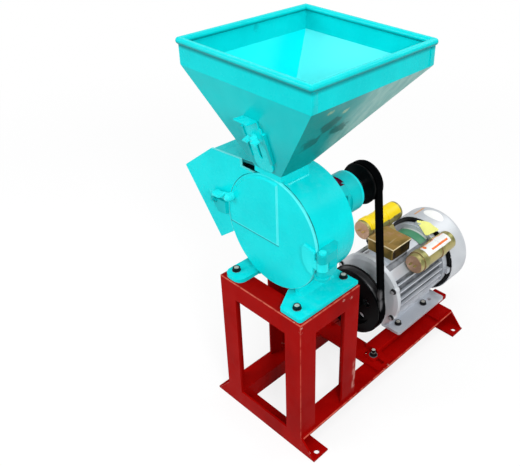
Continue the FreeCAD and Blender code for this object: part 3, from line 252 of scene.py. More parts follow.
# Painted highlight on the door's rounded rim, stronger towards the right.
rim = f.fade(from_axis(f, MILL_AXIS), 0.1092, 0.1104) * f.fade(f.axis("X"), -0.05, 0.03, 0.15, 1.0)
door_base = f.blend(rim * 0.5, door_base, PAINTED_HIGHLIGHT_TEAL)
# Painted shade: a thin dark line on the door below the panel.
below_panel_painted_shade = f.fade(abs(f.axis("Z") - 0.4309), 0.0016, 0.0008)
below_panel_painted_shade = below_panel_painted_shade * f.fade(f.axis("X"), 0.0155, 0.0135)
f.set(Base_Color=f.blend(below_panel_painted_shade * 0.7, door_base, colour(0, 116, 122)))

panel_enamel, panel_base = enamel("turquoise_enamel_panel", *MILL_TINTS)
f = panel_enamel
# Painted highlight on bevels that face right, painted shade on bevels that face down.
bevel = f.fade(abs(f.facing("Y")), 0.97, 0.85)
to_right, down = f.fade(f.facing("X"), 0.2, 0.5), f.fade(f.facing("Z"), -0.2, -0.5)
panel_base = f.blend(bevel * to_right * 0.45, panel_base, PAINTED_HIGHLIGHT_TEAL)
panel_base = f.blend(bevel * down * 0.5, panel_base, colour(0, 150, 156))
# Painted highlight: a thin pale line along the panel's lower edge.
panel_lower_edge_highlight = f.fade(abs(f.axis("Z") - 0.4358), 0.0012, 0.0006)
f.set(Base_Color=f.blend(panel_lower_edge_highlight * 0.4, panel_base, PAINTED_HIGHLIGHT_TEAL))

drum_enamel, drum_base = enamel("turquoise_enamel_drum", *MILL_TINTS)
f = drum_enamel
joint = f.fade(f.axis("Y"), DOOR_JOINT_Y + 0.0006, DOOR_JOINT_Y)
joint = joint * f.fade(f.noise(30.0, 3.0), 0.3, 0.55, 0.4, 1.0)
f.set(Base_Color=f.blend(joint * 0.8, drum_base, colour(0, 52, 56)))

cover_enamel, cover_base = enamel("turquoise_enamel_cover", *MILL_TINTS)
f = cover_enamel
# Painted highlight on the cover's cut edges.
cover_edge_highlight = f.fade(abs(f.facing("Y")), 0.7, 0.4)
f.set(Base_Color=f.blend(cover_edge_highlight * 0.55, cover_base, colour(150, 250, 250)))
print("door, panel, drum and cover enamel ready")

# %% [markdown]
# ## The hopper's enamel, inside and outside
# Inside, the funnel is painted brighter as painted light from above, palest on the rear slope as a
# painted reflection. Outside, the slope under the hopper's right edge is painted darker, with
# greyish, dark green and pale blots, as painted shade and painted reflections of the room, and the
# enamel is painted darker down towards the neck as painted shade. Under the rolled rim a dark line
# runs round the band as a painted shadow, and the band has one scuffed spot inside. The rim is
# painted darker underneath as painted shade and paler on top as a painted highlight. Funnel, band
# and rim also start from darker copies of the mill's tint, as painted shade. The direction in which
# a surface faces tells inside from outside and picks each side.

# %% Enamels for funnel, band and rim
HOPPER_CENTRE = (-0.006, -0.130)
BAND_HALF = 0.1452
RIM_UNDERSIDE = (0.7625, 0.7690)

# A darker copy of the mill's tint, as painted shade.
funnel_enamel, funnel_base = enamel("turquoise_enamel_with_painted_light_and_reflections", (3, 206, 208), (1, 192, 196),
                                    (14, 224, 226), gloss=0.3)
f = funnel_enamel
inside = f.fade(f.facing("Z"), 0.0, 0.2)
rear_slope = f.fade(f.facing("Y"), -0.3, -0.5)
# Painted shade: darker down towards the neck.
funnel_base = f.blend(f.fade(f.axis("Z"), 0.700, 0.600) * 0.55, funnel_base, colour(0, 158, 164))
# Painted shade and painted reflections on the right slope under the hopper's edge: darker, with greyish,
# dark green and pale blots.
under_right = f.fade(f.facing("X"), 0.35, 0.6) * f.fade(f.facing("Z"), -0.2, -0.5)
funnel_base = f.blend(under_right * 0.75, funnel_base, colour(6, 136, 132))
far_part = f.fade(f.axis("Y") + f.noise(18.0, 3.0) * 0.05, -0.150, -0.085)
reflection_blots = f.fade(f.noise(30.0, 4.0, 0.6, stretch=(1, 2.5, 0.6)), 0.38, 0.62)
funnel_base = f.blend(under_right * far_part * (0.55 + reflection_blots * 0.35), funnel_base, colour(156, 206, 198))
dark_places = [(0.104, -0.196, 0.686), (0.088, -0.158, 0.663), (0.080, -0.215, 0.655)]
dark_painted_reflection = f.fade(f.distance(dark_places) + f.noise(60.0, 4.0) * 0.040, 0.042, 0.034)
funnel_base = f.blend(under_right * dark_painted_reflection * 0.7, funnel_base, colour(6, 88, 84))
pale_places = [(0.130, -0.226, 0.723), (0.121, -0.180, 0.710)]
pale_painted_reflection = f.fade(f.distance(pale_places) + f.noise(130.0, 5.0, 0.7) * 0.030, 0.0235, 0.0170)
funnel_base = f.blend(under_right * pale_painted_reflection * 0.6, funnel_base, colour(186, 208, 166))
# Painted light inside: brighter enamel, palest on the rear slope as a painted reflection.
inside_painted_light = f.blend(rear_slope * 0.45, colour(3, 226, 230), colour(126, 244, 244))
f.set(Base_Color=f.blend(inside, funnel_base, inside_painted_light))

# A darker copy of the mill's tint, as painted shade.
band_enamel, band_base = enamel("turquoise_enamel_band", (3, 212, 215), (1, 202, 206), (16, 230, 232))
f = band_enamel
across = abs(f.axis("X") - HOPPER_CENTRE[0])
along = abs(f.axis("Y") - HOPPER_CENTRE[1])
outer = (across | along) > BAND_HALF
# Painted shadow: a dark line under the rolled rim, mostly outside.
upright = f.fade(abs(f.facing("Z")), 0.6, 0.3)
rim_painted_shadow = f.fade(f.axis("Z"), *RIM_UNDERSIDE) * upright * (outer * 0.85 + 0.15)
band_base = f.blend(rim_painted_shadow * 0.7, band_base, colour(0, 118, 124))
scuff = f.fade(f.distance([(-0.150, -0.112, 0.7625)]), 0.0085, 0.0045)
scuff = scuff * f.fade(f.noise(150.0, 3.0), 0.35, 0.6)
f.set(Base_Color=f.blend(scuff * 0.45, band_base, colour(10, 150, 156)))

# A darker copy of the mill's tint, as painted shade.
rim_enamel, rim_base = enamel("turquoise_enamel_rim", (3, 206, 208), (1, 196, 200), (40, 232, 232),
                              gloss=0.2)
f = rim_enamel
# Painted shade on the rim's underside and a painted highlight on its top.
rim_base = f.blend(f.fade(f.facing("Z"), 0.1, -0.5) * 0.7, rim_base, colour(0, 120, 126))
f.set(Base_Color=f.blend(f.fade(f.facing("Z"), 0.80, 0.98) * 0.25, rim_base, colour(90, 240, 240)))
print("hopper enamels ready")

# %% [markdown]
# ## The red stand
# Angle iron is rolled, cut and welded, then painted in one coat. The paint is a strong red. A fine
# pale line along the outer edges of the stand is partly paint worn thin on the corners and partly
# a painted highlight; small chips show where pieces meet, and the foot of the rear leg is rubbed.
# The red gets darker patches towards the floor. The lines follow the real edges by their
# coordinates and the chips are placed at listed points, each broken up by a noise, because wear
# that is even all over looks false.

# %% Red paint with worn edges and chips
STAND_SIDE, STAND_FRONT, STAND_TOP = 0.107, -0.265, 0.328
RAIL_SIDE, RAIL_TOP = 0.112, 0.040
REAR_LEG_Y = -0.108

red = Finish("red_enamel_on_angle_iron")
f = red
chip_spots = [
    (0.107, -0.262, 0.322), (0.104, -0.262, 0.312), (0.107, -0.150, 0.318), (0.107, -0.128, 0.312),
    (-0.137, -0.262, 0.006), (0.112, -0.006, 0.038), (0.110, 0.010, 0.040), (-0.100, -0.112, 0.052),
    (0.128, -0.262, 0.012), (0.090, -0.265, 0.330),
]
slow = f.fade(f.noise(7.0, 2.0), 0.35, 0.7)
rolled = f.fade(f.noise(40.0, 3.0, stretch=(1, 1, 0.15)), 0.45, 0.8)
red_base = f.blend(slow, colour(158, 5, 3), colour(142, 3, 2))
red_base = f.blend(rolled * 0.2, red_base, colour(184, 16, 10))
# Pale line along the outer edges: partly paint worn thin, partly a painted highlight.
worn_and_highlit_edge = f.edge("X", STAND_SIDE, "Z", STAND_TOP, 0.0030)
worn_and_highlit_edge = worn_and_highlit_edge | f.edge("Y", STAND_FRONT, "Z", STAND_TOP, 0.0026)
worn_and_highlit_edge = worn_and_highlit_edge | f.edge("X", RAIL_SIDE, "Z", RAIL_TOP, 0.0026)
worn_and_highlit_edge = worn_and_highlit_edge | f.edge("X", STAND_SIDE, "Y", STAND_FRONT, 0.0018) * 0.6
worn_and_highlit_edge = worn_and_highlit_edge * f.fade(f.noise(55.0, 4.0, 0.7), 0.36, 0.56)
red_base = f.blend(worn_and_highlit_edge * 0.8, red_base, colour(226, 112, 92))
rub = f.edge("X", STAND_SIDE, "Y", REAR_LEG_Y, 0.009)
rub = rub * f.fade(f.axis("Z"), 0.142, 0.120) * f.fade(f.axis("Z"), 0.058, 0.066)
rub = rub * f.fade(f.noise(120.0, 4.0, 0.7, stretch=(1, 1, 0.25)), 0.36, 0.56)
red_base = f.blend(rub * 0.7, red_base, colour(214, 150, 140))
chip_field = f.fade(f.distance(chip_spots), 0.010, 0.0) * 0.42 + f.noise(600.0, 3.0, 0.7)
bare = chip_field > 0.90
red_base = f.blend(bare * 0.85, red_base, colour(226, 192, 180))
# Darker patches, more of them towards the floor.
red_low_dark_patches = f.fade(f.noise(18.0, 5.0, 0.7), 0.55, 0.82) * f.fade(f.axis("Z"), 0.12, 0.0)
red_base = f.blend(red_low_dark_patches * 0.3, red_base, colour(80, 12, 8))
red_smudge = f.fade(f.noise(30.0, 4.0), 0.4, 0.75)
f.set(Base_Color=red_base, Roughness=0.34 + red_smudge * 0.14 + bare * 0.3,
      Specular_IOR_Level=0.1, IOR=1.2)
runs = f.noise(34.0, 2.0, stretch=(1, 1, 0.3))
f.bump(f.noise(150.0, 3.0) * 0.8 + runs - bare * 0.6, 0.16, 0.001)
print("red paint with", len(chip_spots), "chipped places")

# %% [markdown]
# ## The motor
# The motor frame is a ribbed casting sprayed silver grey. The cowl and shields share that paint.
# Such paint has fine metal flake, so it gets a little metallic value and a very fine noise in
# its roughness. The grooves between the ribs are painted dark, as painted shade: the distance from
# the motor's own axis tells how deep a point lies, and the angle round it leaves out the places
# without ribs. The rear shield stands in the shadow of the cowl and is painted near black behind a
# given Y, as painted shadow.

# %% Silver grey motor paint
RIBLESS = (45, 10), (90, 25), (135, 10)


def silver(name, tone, cloud, grooves=0.0, shaded_from=9.0):
    f = Finish(name)
    base = f.blend(f.fade(f.noise(11.0, 2.0), 0.35, 0.7), colour(*tone), colour(*cloud))
    flake = f.fade(f.noise(900.0, 1.0), 0.45, 0.6)
    base = f.blend(flake * 0.2, base, colour(222, 226, 230))
    depth = f.fade(from_axis(f, MOTOR_AXIS), 0.0835, 0.0775)
    round_it = (f.axis("Z") - MOTOR_AXIS[1]).math("ARCTAN2", f.axis("X") - MOTOR_AXIS[0])
    for middle, half in RIBLESS:
        beside = abs(round_it - math.radians(middle))
        depth = depth * f.fade(beside, math.radians(half - 1), math.radians(half))
    # Painted shade in the grooves between the ribs, broken by a noise.
    groove_painted_shade = depth * f.fade(f.noise(46.0, 4.0), 0.25, 0.7, 0.7, 1.0) * grooves
    base = f.blend(groove_painted_shade, base, colour(34, 38, 46))
    # Painted shadow: near black behind shaded_from, where the cowl shades the rear shield.
    base = f.blend(f.fade(f.axis("Y"), shaded_from, shaded_from + 0.003), base, colour(12, 13, 15))
    speck = f.fade(f.noise(160.0, 4.0, 0.7), 0.68, 0.76)
    base = f.blend(speck * 0.4, base, colour(110, 116, 124))
    rubbed = f.fade(f.noise(28.0, 4.0), 0.4, 0.75)
    f.set(Base_Color=base, Metallic=0.25, Roughness=0.36 + rubbed * 0.14 + flake * 0.04,
          Specular_IOR_Level=0.4)
    f.bump(f.noise(320.0, 2.0) + f.noise(60.0, 3.0) * 0.8, 0.12, 0.0008)
    return f


motor_ribbed = silver("silver_motor_paint_ribbed", (208, 213, 220), (190, 196, 205), 0.85)
motor_smooth = silver("silver_motor_paint_smooth", (210, 214, 218), (194, 199, 205))
motor_shaded = silver("silver_motor_paint_with_painted_shadow", (186, 192, 200), (168, 176, 186),
                      shaded_from=0.2685)
print("motor paint ready")

# %% [markdown]
# ## Gold passivated tin
# The terminal box and the capacitor cans are steel and aluminium with a yellow chromate film. The
# film is thin, so its colour drifts from olive through gold to a pink sheen. A slow noise walks
# along those colours, and long faint scratches from handling break up the gloss. The flat ends of
# the cans are a paler pink. On the box, reflections of the dark machine beside it are painted: its
# right side is painted nearly black and its front smoky. Its upper edges and front corner are
# painted as bright lines, as painted highlights.

# %% Gold film for box and cans
def gold_film(name, gold, olive, pink, rough, metallic, ends=0.0):
    f = Finish(name)
    drift = f.noise(22.0, 3.0, 0.6)
    base = f.blend(f.fade(drift, 0.36, 0.52), colour(*olive), colour(*gold))
    base = f.blend(f.fade(drift, 0.60, 0.74) * 0.7, base, colour(*pink))
    base = f.blend(f.fade(abs(f.facing("Y")), 0.8, 0.95) * ends, base, colour(188, 142, 124))
    scratch = f.fade(f.noise(150.0, 2.0, stretch=(1, 0.08, 1)), 0.62, 0.72)
    base = f.blend(scratch * 0.35, base, colour(226, 214, 170))
    handled = f.fade(f.noise(35.0, 4.0), 0.3, 0.8)
    f.set(Base_Color=base, Metallic=metallic, Roughness=rough + handled * 0.16 + scratch * 0.08)
    f.bump(f.noise(260.0, 2.0) - scratch * 0.5, 0.08, 0.0006)
    return f


gold_box = gold_film("gold_film_on_box_with_painted_reflections", (168, 134, 66), (128, 104, 42), (190, 146, 112), 0.32, 0.5)
f = gold_box
box_low, box_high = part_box("terminal_box")[0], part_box("terminal_lid")[1]
# Painted reflections of the dark machine: right side near black, front smoky.
right_side = f.fade(f.facing("X"), 0.7, 0.95) * f.fade(f.noise(36.0, 3.0), 0.30, 0.55, 0.75, 1.0)
front_side = f.fade(f.facing("Y"), -0.7, -0.95) * f.fade(f.noise(30.0, 3.0), 0.35, 0.6, 0.2, 0.8)
golden = Signal(f, f.shader.inputs["Base Color"].links[0].from_socket)
box_painted_reflection = f.blend(right_side, golden, colour(34, 26, 14))
box_painted_reflection = f.blend(front_side, box_painted_reflection, colour(92, 80, 26))
# Painted highlights along the box's upper edges and front corner.
bright = f.edge("X", box_high.x, "Z", box_high.z, 0.0022)
bright = bright | f.edge("Y", box_low.y, "Z", box_high.z, 0.0022)
bright = bright | f.edge("X", box_high.x, "Y", box_low.y, 0.0020)
f.set(Base_Color=f.blend(bright * 0.75, box_painted_reflection, colour(250, 236, 196)))
gold_can = gold_film("gold_film_on_can", (176, 164, 104), (140, 138, 84), (196, 172, 148), 0.30, 0.6,
                     ends=0.8)
print("gold finishes ready")

# %% [markdown]
# ## Bare steel, hard steel and zinc
# Inside the mill the shaft, pins and sieve are turned or drawn steel, and the beaters and the
# toothed liner are hardened and worn by grain. Screws outside are zinc plated and sit on dark
# washers. Round each head a near black ring is painted, partly the dark washer and partly painted
# shade round the head, and the head's flanks are painted black as painted shade. The distance
# from each screw's own axis tells head from washer.
# Turned steel has rings around its axis, worn steel has streaks, and zinc is cloudy and pale.

# %% Steels
SCREW_CIRCLE = 0.084


def turned_steel(name, tone):
    f = Finish(name)
    rings = f.node("ShaderNodeTexWave", {"wave_type": "BANDS", "bands_direction": "Y"},
                   Vector=f.place(), Scale=420.0, Distortion=1.2, Detail=2.0, out="Fac")
    film = f.fade(f.noise(40.0, 3.0), 0.35, 0.75)
    base = f.blend(film * 0.5, colour(*tone), colour(132, 132, 134))
    oil = f.fade(f.noise(14.0, 4.0), 0.52, 0.75)
    base = f.blend(oil * 0.25, base, colour(98, 84, 58))
    f.set(Base_Color=base, Metallic=1.0, Roughness=0.26 + rings * 0.08 + film * 0.1)
    f.bump(rings, 0.05, 0.0004)
    return f


def worn_steel(name, tone, dark, rough):
    f = Finish(name)
    streaks = f.noise(95.0, 4.0, 0.6, stretch=(1, 0.2, 1))
    scale_skin = f.fade(f.noise(48.0, 5.0, 0.7), 0.45, 0.62)
    base = f.blend(scale_skin, colour(*tone), colour(*dark))
    rust = f.fade(f.noise(70.0, 6.0, 0.75), 0.66, 0.78)
    base = f.blend(rust * 0.35, base, colour(112, 66, 38))
    f.set(Base_Color=base, Metallic=0.9, Roughness=rough + streaks * 0.2 + rust * 0.2)
    f.bump(streaks + f.noise(400.0, 2.0) * 0.6, 0.15, 0.0005)
    return f


def zinc(name, tone, cloud, screws=(), along="Z"):
    f = Finish(name)
    spangle = f.node("ShaderNodeTexVoronoi", {"feature": "F1"}, Vector=f.place(), Scale=240.0,
                     out="Distance")
    film = f.fade(f.noise(90.0, 3.0), 0.35, 0.7)
    base = f.blend(film, colour(*tone), colour(*cloud))
    base = f.blend(f.fade(spangle, 0.1, 0.7) * 0.2, base, colour(120, 116, 108))
    if screws:
        away = f.distance(screws, (1, along == "Z", along == "Y")) + f.noise(260.0, 2.0) * 0.0016
        # Near black ring round each head and black flanks: partly the dark washer, partly painted shade.
        flanks = f.fade(abs(f.facing(along)), 0.9, 0.7)
        washer_and_painted_shade = f.fade(away, 0.0050, 0.0060) | flanks
        base = f.blend(washer_and_painted_shade, base, colour(14, 14, 17))
        base = f.blend(f.fade(away, 0.0088, 0.0093) * 0.5, base, colour(150, 152, 156))
    f.set(Base_Color=base, Metallic=0.3, Roughness=0.30 + film * 0.16, Specular_IOR_Level=0.35)
    f.bump(f.noise(500.0, 2.0), 0.06, 0.0004)
    return f


shaft_steel = turned_steel("turned_steel", (176, 178, 182))
beater_steel = worn_steel("hardened_beater_steel", (128, 130, 134), (88, 88, 92), 0.34)
liner_steel = worn_steel("cast_liner_steel", (104, 104, 106), (66, 64, 64), 0.46)
sieve_steel = worn_steel("perforated_sieve_steel", (176, 178, 180), (140, 140, 142), 0.28)
upright_screws = [(x, y, 0.0) for x in (-0.087, 0.075) for y in (-0.241, -0.116)]
upright_screws += [(x, y, 0.0) for x in (-0.082, 0.058) for y in (0.110, 0.210)]
upright_screws += [(-0.096, 0.002, 0.0), (0.072, 0.002, 0.0)]
screw_zinc = zinc("zinc_screws_with_painted_shade_on_dark_washers", (226, 224, 216), (176, 172, 160), upright_screws)
shield_angles = [math.radians(angle) for angle in (26, 154, 206, 334)]
shield_places = [(MOTOR_AXIS[0] + SCREW_CIRCLE * math.cos(turn), 0.0,
                  MOTOR_AXIS[1] + SCREW_CIRCLE * math.sin(turn)) for turn in shield_angles]
shield_zinc = zinc("zinc_screws_of_the_shield", (214, 216, 220), (160, 162, 168), shield_places,
                   along="Y")
small_zinc = zinc("zinc_plate", (206, 204, 196), (150, 146, 134))
print("steels ready")

# %% [markdown]
# ## Black pulleys, belt, plastics and primer
# The pulleys are cast iron in black enamel, rubbed bright where the belt runs. The belt is rubber
# with a woven cover, which shows as a fine cross weave, a little chalky, and with a pale patch where
# it wraps the motor pulley's right side, as a painted highlight. Fan and cable gland are moulded
# plastic. Inside the lantern of the bearing housing a dark red primer was left uncovered, and it
# shows through the upper window: above the mill's axis, the paint turns from turquoise to primer
# where a point lies deeper than the cone's outer skin or in the pocket.

# %% Black finishes and the primed casting
BELT_Y = 0.030


def black_iron(name, rim, axis):
    f = Finish(name)
    cast = f.noise(120.0, 4.0, 0.65)
    base = f.blend(f.fade(f.noise(20.0, 3.0), 0.35, 0.7), colour(3, 4, 5), colour(8, 9, 10))
    dusty = f.fade(f.noise(55.0, 5.0, 0.7), 0.60, 0.84)
    base = f.blend(dusty * 0.06, base, colour(92, 84, 76))
    depth = f.fade(from_axis(f, axis), rim - 0.0005, rim - 0.003)
    walls = depth * f.fade(abs(f.axis("Y") - BELT_Y), 0.0105, 0.0095)
    rubbed = walls * f.fade(from_axis(f, axis), rim - 0.016, rim - 0.012)
    base = f.blend(rubbed * 0.6, base, colour(120, 120, 122))
    f.set(Base_Color=base, Metallic=rubbed * 0.8, Roughness=0.30 + dusty * 0.3,
          Specular_IOR_Level=0.15, IOR=1.25)
    f.bump(cast, 0.16, 0.0008)
    return f


pulley_small = black_iron("black_mill_pulley", 0.043, MILL_AXIS)
pulley_large = black_iron("black_motor_pulley", 0.079, MOTOR_AXIS)

belt_rubber = Finish("belt_rubber_with_woven_cover")
f = belt_rubber
weave_a, weave_b = [f.node("ShaderNodeTexWave", {"bands_direction": way}, Vector=f.place(), Scale=size,
                           out="Fac") for way, size in (("DIAGONAL", 300.0), ("Y", 360.0))]
weave = weave_a * weave_b
chalk = f.fade(f.noise(45.0, 5.0, 0.7), 0.55, 0.85)
belt_base = f.blend(weave * 0.5, colour(2, 3, 4), colour(9, 9, 10))
belt_base = f.blend(chalk * 0.04, belt_base, colour(92, 92, 92))
# Painted highlight: a pale patch where the belt wraps the motor pulley's right side.
belt_painted_highlight = f.distance([(0.062, 0.022, 0.200), (0.066, 0.022, 0.176)], (1, 1, 0.7))
belt_painted_highlight = f.fade(belt_painted_highlight + f.noise(160.0, 3.0) * 0.01, 0.018, 0.010)
belt_base = f.blend(belt_painted_highlight * 0.4, belt_base, colour(150, 150, 152))
f.set(Base_Color=belt_base, Roughness=0.62 + chalk * 0.2, Specular_IOR_Level=0.05, IOR=1.15)
f.bump(weave + f.noise(200.0, 2.0) * 0.4, 0.25, 0.0006)

black_plastic = Finish("moulded_black_plastic")
f = black_plastic
grain = f.noise(380.0, 3.0)
plastic_base = f.blend(f.fade(f.noise(30.0, 3.0), 0.4, 0.7), colour(20, 20, 22), colour(34, 34, 36))
f.set(Base_Color=plastic_base, Roughness=0.42 + grain * 0.14, Specular_IOR_Level=0.3)
f.bump(grain, 0.2, 0.0005)

lantern, lantern_paint = enamel("turquoise_outside_primer_inside", (3, 202, 205), (2, 184, 188),
                                (20, 222, 225), gloss=0.3, peel=0.2)
f = lantern
CONE_START_Y, CONE_SLOPE = -0.112, 0.2456
cone = f.fade(from_axis(f, MILL_AXIS) + (f.axis("Y") - CONE_START_Y) * CONE_SLOPE, 0.0592, 0.0584)
cone = cone * f.fade(f.axis("Y"), -0.0545, -0.0555)
pocket = f.fade(from_axis(f, MILL_AXIS), 0.0414, 0.0408) * f.fade(f.axis("Y"), -0.0480, -0.0484)
above = f.axis("Z") - MILL_AXIS[1]
aside = abs(f.axis("X") - MILL_AXIS[0])
primed = (cone | pocket) * f.fade(above - aside * 0.8, -0.004, 0.002)
primer = f.blend(f.fade(f.noise(70.0, 4.0), 0.35, 0.7), colour(126, 8, 62), colour(70, 6, 32))
f.set(Base_Color=f.blend(primed, lantern_paint, primer))
print("black finishes and lantern ready")

# %% [markdown]
# ## Give every carried-over piece its finish
# Each node of the CAD model keeps its shape and gets one of the finishes above. A dictionary from
# finish to node names makes it easy to see that none is forgotten.

# %% Assign finishes to the nodes
finishes = {
    red: ["stand_legs_front", "stand_legs_rear", "stand_top_frame", "base_rails", "front_cross_foot",
          "rear_cross_foot", "front_cross_bar", "rear_cross_bar", "slide_bars"],
    door_enamel: ["door_plate"],
    panel_enamel: ["door_panel"],
    drum_enamel: ["housing_wall"],
    cover_enamel: ["chamber_cover"],
    teal: ["mill_foot_left", "mill_foot_right", "back_plate", "bearing_cap", "hopper_neck",
           "feed_slide"],
    funnel_enamel: ["hopper_funnel"],
    band_enamel: ["hopper_band"],
    rim_enamel: ["hopper_rim"],
    teal_painted_shade: ["body_hinge_leaf", "latch_keeper"],
    teal_painted_highlight: ["door_hinge_leaf", "hinge_pin", "latch_pivot", "latch_bar", "slide_lock_screw"],
    lantern: ["bearing_housing"],
    motor_ribbed: ["motor_frame"],
    motor_smooth: ["motor_front_shield", "fan_cowl"],
    motor_shaded: ["motor_rear_shield"],
    gold_box: ["terminal_box", "terminal_lid"],
    gold_can: ["capacitor_left", "capacitor_right", "capacitor_clamps"],
    shaft_steel: ["rotor_shaft", "rotor_lock_nut", "hammer_pins", "bearings", "motor_shaft"],
    beater_steel: ["hammers_1", "hammers_2", "hammers_3", "hammers_4", "rotor_discs"],
    liner_steel: ["toothed_liner"],
    sieve_steel: ["sieve"],
    screw_zinc: ["motor_bolts", "mill_foot_bolts"],
    small_zinc: ["bearing_screws"],
    pulley_small: ["mill_pulley"],
    pulley_large: ["motor_pulley"],
    belt_rubber: ["drive_belt"],
    black_plastic: ["motor_fan", "cable_gland"],
}
for finish, names in finishes.items():
    for name in names:
        finish.cover(nodes[name])
missing = sorted(set(nodes) - {n for names in finishes.values() for n in names})
print("nodes without a finish:", missing)

# %% [markdown]
# ## Helpers for new pieces
# New pieces are made as by hand: a primitive is added, faces or points are picked by place or
# direction, and operators shape them. The picking is done in object mode, where a mesh's own data
# can be read, and the operator then works in edit mode on what is picked. At the end the piece is
# baked so that its object sits at the origin, gets its finish, and rides on a body.

# %% Picking and finishing helpers
def start(add, **settings):
    """Add a primitive with nothing else selected and return its object."""
    if bpy.context.object and bpy.context.object.mode != "OBJECT":
        bpy.ops.object.mode_set(mode="OBJECT")
    bpy.ops.object.select_all(action="DESELECT")
    add(**settings)
    return bpy.context.object


def to_object():
    bpy.ops.object.mode_set(mode="OBJECT")


def edit_all():
    """Enter edit mode with everything selected."""
    bpy.ops.object.mode_set(mode="EDIT")
    bpy.ops.mesh.select_all(action="SELECT")


def pick(piece, wanted, kind="FACE"):
    """Select a piece's faces or points for which wanted says yes, and enter edit mode."""
    bpy.ops.object.mode_set(mode="EDIT")
    bpy.ops.mesh.select_mode(type=kind)
    bpy.ops.mesh.select_all(action="DESELECT")
    to_object()
    parts = {"FACE": piece.data.polygons, "VERT": piece.data.vertices}[kind]
    chosen = [part for part in parts if wanted(part)]
    for part in chosen:
        part.select = True
    bpy.ops.object.mode_set(mode="EDIT")
    return len(chosen)


def modify(piece, kind, **settings):
    """Add a modifier, set it and apply it."""
    to_object()
    modifier = piece.modifiers.new(kind.lower(), kind)
    for key, value in settings.items():
        setattr(modifier, key, value)
    bpy.context.view_layer.objects.active = piece
    bpy.ops.object.modifier_apply(modifier=modifier.name)


def settle(piece, name, finish, body="base", smooth=40):
    """Bake a piece's place into its mesh, smooth it, give it a finish and let it ride on a body."""
    to_object()
    bpy.ops.object.select_all(action="DESELECT")
    piece.select_set(True)
    bpy.context.view_layer.objects.active = piece
    bpy.ops.object.transform_apply()
    bpy.ops.object.shade_smooth_by_angle(angle=math.radians(smooth))
    piece.name = name
    piece.data.name = name
    finish.cover(piece)
    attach(piece, body)


def copy_of(piece):
    twin = piece.copy()
    twin.data = piece.data.copy()
    bpy.context.scene.collection.objects.link(twin)
    return twin


print("modelling helpers ready")

# %% [markdown]
# ## Weld beads
# A weld is a row of overlapping drops of metal. One drop is modelled as a small flattened ball and
# copied along each seam with a slightly changing size. Joined and remeshed in small voxels, the
# drops melt into one bead, as they do on the machine. The seams run where the neck meets the drum
# and the funnel, and where the legs stand on the rails.

# %% Weld beads along the seams
def bead(name, seams, width, finish, pitch=0.8):
    """Weld beads along straight or curved seams, each given as a list of points in metres."""
    drop = start(bpy.ops.mesh.primitive_ico_sphere_add, subdivisions=2, radius=width / 2)
    edit_all()
    bpy.ops.transform.resize(value=(1.0, 1.0, 0.8))
    to_object()
    drops = []
    for points in seams:
        for a, b in zip(points, points[1:]):
            a, b = Vector(a), Vector(b)
            count = max(1, round((b - a).length / (width * pitch)))
            for i in range(count):
                twin = copy_of(drop)
                wobble = math.sin(7.3 * (len(drops) + 1))
                twin.location = a.lerp(b, (i + 0.5) / count)
                twin.scale = [1.0 + 0.16 * wobble] * 3
                drops.append(twin)
    bpy.ops.object.select_all(action="DESELECT")
    for twin in drops:
        twin.select_set(True)
    bpy.context.view_layer.objects.active = drops[0]
    bpy.ops.object.join()
    bpy.data.objects.remove(drop)
    row = bpy.context.object
    bpy.ops.object.transform_apply()
    modify(row, "REMESH", mode="VOXEL", voxel_size=width * 0.17)
    settle(row, name, finish, smooth=80)
    print(name, len(drops), "drops,", len(row.data.polygons), "faces")


NECK_X, NECK_Y, NECK_TOP = (-0.038, 0.026), (-0.227, -0.161), 0.576


def on_drum(x, y):
    """Point on top of the drum, at a given x and y."""
    return (x, y, MILL_AXIS[1] + math.sqrt(DRUM_RADIUS ** 2 - (x - MILL_AXIS[0]) ** 2) + 0.0004)


right_seam = [on_drum(NECK_X[1] + 0.001, y) for y in (-0.212, NECK_Y[1])]
left_seam = [on_drum(NECK_X[0] - 0.001, y) for y in (-0.212, NECK_Y[1])]
neck_width = NECK_X[1] - NECK_X[0]
back_seam = [on_drum(NECK_X[0] + neck_width * i / 6, NECK_Y[1] + 0.001) for i in range(7)]
collar = [(NECK_X[i], NECK_Y[k], NECK_TOP) for i, k in ((1, 0), (1, 1), (0, 1), (0, 0))]
bead("neck_weld", [right_seam, left_seam, back_seam], 0.0046, teal_weld_painted_highlight, pitch=1.05)
bead("throat_weld", [collar], 0.0036, teal)
leg_seams = []
for side in (-1, 1):
    for y0, y1 in ((-0.261, -0.228), (-0.142, -0.108)):
        leg_seams.append([(side * 0.1072, y, RAIL_TOP + 0.0002) for y in (y0, y1)])
bead("stand_weld", leg_seams, 0.0040, red)

# %% [markdown]
# ## Lap seams of the hopper's band
# The band round the hopper is bent from two strips, whose ends lap over each other beside the
# corners. The lap is a second thickness of sheet, 12 mm wide, on the side faces. One is shaped
# from a block: its outer face is inset and raised a little, its edges are rounded, and then it is
# copied to the other three places.

# %% Lap seams
lap = start(bpy.ops.mesh.primitive_cube_add, size=1.0, location=(0.1404, -0.2700, 0.7535))
bpy.ops.object.mode_set(mode="EDIT")
bpy.ops.transform.resize(value=(0.0012, 0.0120, 0.0330))
pick(lap, lambda face: face.normal.x > 0.9)
bpy.ops.mesh.inset(thickness=0.0006, depth=0.0)
bpy.ops.transform.translate(value=(0.0003, 0, 0))
modify(lap, "BEVEL", width=0.0003, segments=2, limit_method="ANGLE")
laps = [lap]
ACROSS, ALONG = -0.2928, 0.280
for shift in ((0.0, ALONG, 0.0), (ACROSS, 0.0, 0.0), (ACROSS, ALONG, 0.0)):
    twin = copy_of(lap)
    twin.location = twin.location + Vector(shift)
    laps.append(twin)
for number, twin in enumerate(laps, 1):
    settle(twin, "hopper_lap_seam_%d" % number, band_enamel)
print("lap seams:", len(laps))

